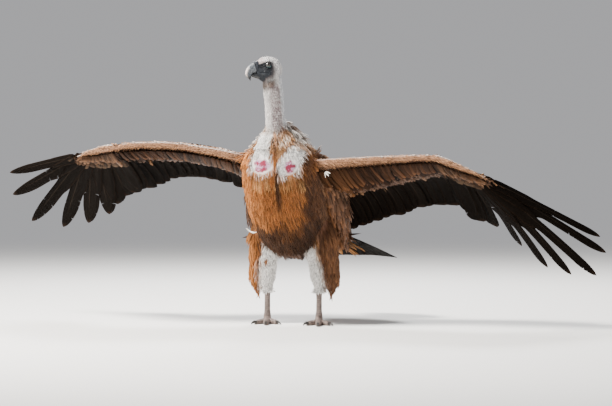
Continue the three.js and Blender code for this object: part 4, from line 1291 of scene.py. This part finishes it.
scale_finish = finish("leg_scales", scale_paint, Specular_IOR_Level=0.35)
claw_finish = finish("claw_horn", claw_paint, Roughness=0.35, Specular_IOR_Level=0.4)
for side, sign in SIDES.items():
    both = bmesh.new()
    for node in (f"tarsus_{side}", f"foot_{side}"):
        both.from_mesh(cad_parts[node].data)
    leg = fused(f"leg_skin_{side}", both, LEG_VOXEL)
    at = spread(leg.data, read(leg.data), 8)
    put(leg.data, at)
    at = at + read(leg.data, "normal") * LEG_SWELL
    put(leg.data, at)
    way_out = read(leg.data, "normal")
    own = at - body_origin
    heel = np.array([sign * FOOT_SIDE, FOOT_BACK, 0])
    toe_ways = {}
    groove, rise, best = np.zeros(len(at)), np.zeros(len(at)), np.ones(len(at))
    for toe, (heading, length, thick) in TOES.items():
        angle = math.radians(sign * heading + FOOT_TURN)
        toe_way = toe_ways[toe] = np.array([math.sin(angle), -math.cos(angle), 0])
        along = (own - heel) @ toe_way
        aside = np.abs((own - heel) @ np.array([toe_way[1], -toe_way[0], 0]))
        mine = (aside < best) & (along > 0.012) & (own[:, 2] < FOOT_TOP)
        best = np.where(mine, aside, best)
        line = np.abs(np.sin(math.pi * along / SCUTE))
        top = soft(way_out[:, 2], 0.1, 0.5)
        knuckle = 0.0011 * np.cos(2 * math.pi * along / (length / 3))
        groove = np.where(mine, (1 - soft(line, 0.05, 0.45)) * top, groove)
        rise = np.where(mine, 0.0007 * soft(line, 0.0, 0.7) * top + knuckle * (1 - top), rise)
    high = own[:, 2] > FOOT_TOP
    line = np.abs(np.sin(math.pi * own[:, 2] / (1.1 * SCUTE)))
    front_face = soft(-way_out[:, 1], 0.2, 0.6)
    groove = np.where(high, (1 - soft(line, 0.05, 0.45)) * front_face, groove)
    rise = np.where(high, 0.0006 * soft(line, 0.0, 0.7) * front_face, rise)
    at = at + way_out * spread(leg.data, rise, 1)[:, None]
    at[:, 2] = np.maximum(at[:, 2], 0.0)
    put(leg.data, at)
    store(leg.data, "groove", groove)
    leg.data.shade_smooth()
    leg.data.materials.append(scale_finish)
    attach(leg, "root")
    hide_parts(f"tarsus_{side}", f"foot_{side}")
    for toe, (heading, length, thick) in TOES.items():
        base = (body_origin + heel) * [1, 1, 0]
        rows = [(*(base + toe_ways[toe] * (length + past) + UP * up_by), half, tall)
                for past, up_by, half, tall in (
                    *((past, thick * share, half, tall) for past, share, half, tall in CLAW),
                    CLAW_TIP)]
        aside = np.array([-toe_ways[toe][1], toe_ways[toe][0], 0])
        place_piece(tube(f"talon_{toe}_{side}", rows, aside, 20, 4)[0], claw_finish, "claw",
                    f"claw_{toe}_{side}")

# ---------------------------------------------------------------------------------------------
# Studio. A pale floor that fades into an even backdrop, a large soft key from the upper left, a
# rim from behind and a weak fill, seen by a long lens from a little to the bird's left.

CAMERA_AZIMUTH, CAMERA_ELEVATION, CAMERA_DISTANCE, VIEW_WIDTH = 20, 2, 12.0, 2.2032
LAMP_AIM, LAMP_DISTANCE = Vector((0, 0, 0.45)), 4.0
FLOOR_REACH, FADE_START, FADE_END = 9, 2.2, 7.5


# The way to a lamp or the camera from what it looks at: azimuth 0 is ahead of the bird.
def way_to(azimuth, elevation):
    a, e = math.radians(azimuth), math.radians(elevation)
    return np.array([math.sin(a) * math.cos(e), -math.cos(a) * math.cos(e), math.sin(e)])


def aimed(name, data, place, way):
    made = bpy.data.objects.new(name, data)
    made.location = place
    made.rotation_mode = "QUATERNION"
    made.rotation_quaternion = Vector(way).to_track_quat("Z", "Y")
    bpy.context.scene.collection.objects.link(made)
    return made


lens = bpy.data.cameras.new("camera")
lens.sensor_width = 36
lens.lens = 36 * CAMERA_DISTANCE / VIEW_WIDTH
way = way_to(CAMERA_AZIMUTH, CAMERA_ELEVATION)
aim = body_origin + 0.0792 * way_to(CAMERA_AZIMUTH + 90, 0) + 0.4428 * UP
bpy.context.scene.camera = aimed("camera", lens, aim + CAMERA_DISTANCE * way, way)

floor_mesh = bpy.data.meshes.new("floor")
floor_mesh.from_pydata([(x * FLOOR_REACH, y * FLOOR_REACH, 0) for x, y in (
    (-1, -1), (1, -1), (1, 1), (-1, 1))], [], [(0, 1, 2, 3)])
floor = new_piece("floor", floor_mesh)


# The floor fades into the even backdrop a few metres out, so that no horizon shows.
def floor_paint(sheet):
    away = sheet.node("ShaderNodeVectorMath", {"operation": "LENGTH"}, {0: sheet.place()}, 1)
    return {"Alpha": 1.0 - away.step(FADE_START, FADE_END)}


floor.data.materials.append(finish("floor_pale", floor_paint, Base_Color=(0.78, 0.77, 0.75, 1),
                                   Roughness=0.8))
for name, power, size, azimuth, elevation, colour in (
        ("key", 740, 1.3, -42, 50, (1, 0.96, 0.90)), ("rim", 280, 1.2, -160, 45, (1, 1, 1)),
        ("fill", 40, 3.0, 70, 20, (0.92, 0.96, 1))):
    light = bpy.data.lights.new(name, "AREA")
    light.shape, light.size, light.energy, light.color = "DISK", size, power, colour
    way = Vector(way_to(azimuth, elevation))
    aimed(name, light, LAMP_AIM + way * LAMP_DISTANCE, way)
world = bpy.context.scene.world or bpy.data.worlds.new("world")
bpy.context.scene.world = world
world.use_nodes = True
backdrop = world.node_tree.nodes["Background"].inputs
backdrop["Color"].default_value, backdrop["Strength"].default_value = (0.97, 0.97, 1, 1), 0.45

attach(skin, "root")
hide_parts(*[node for nodes in FLESH.values() for node in nodes])
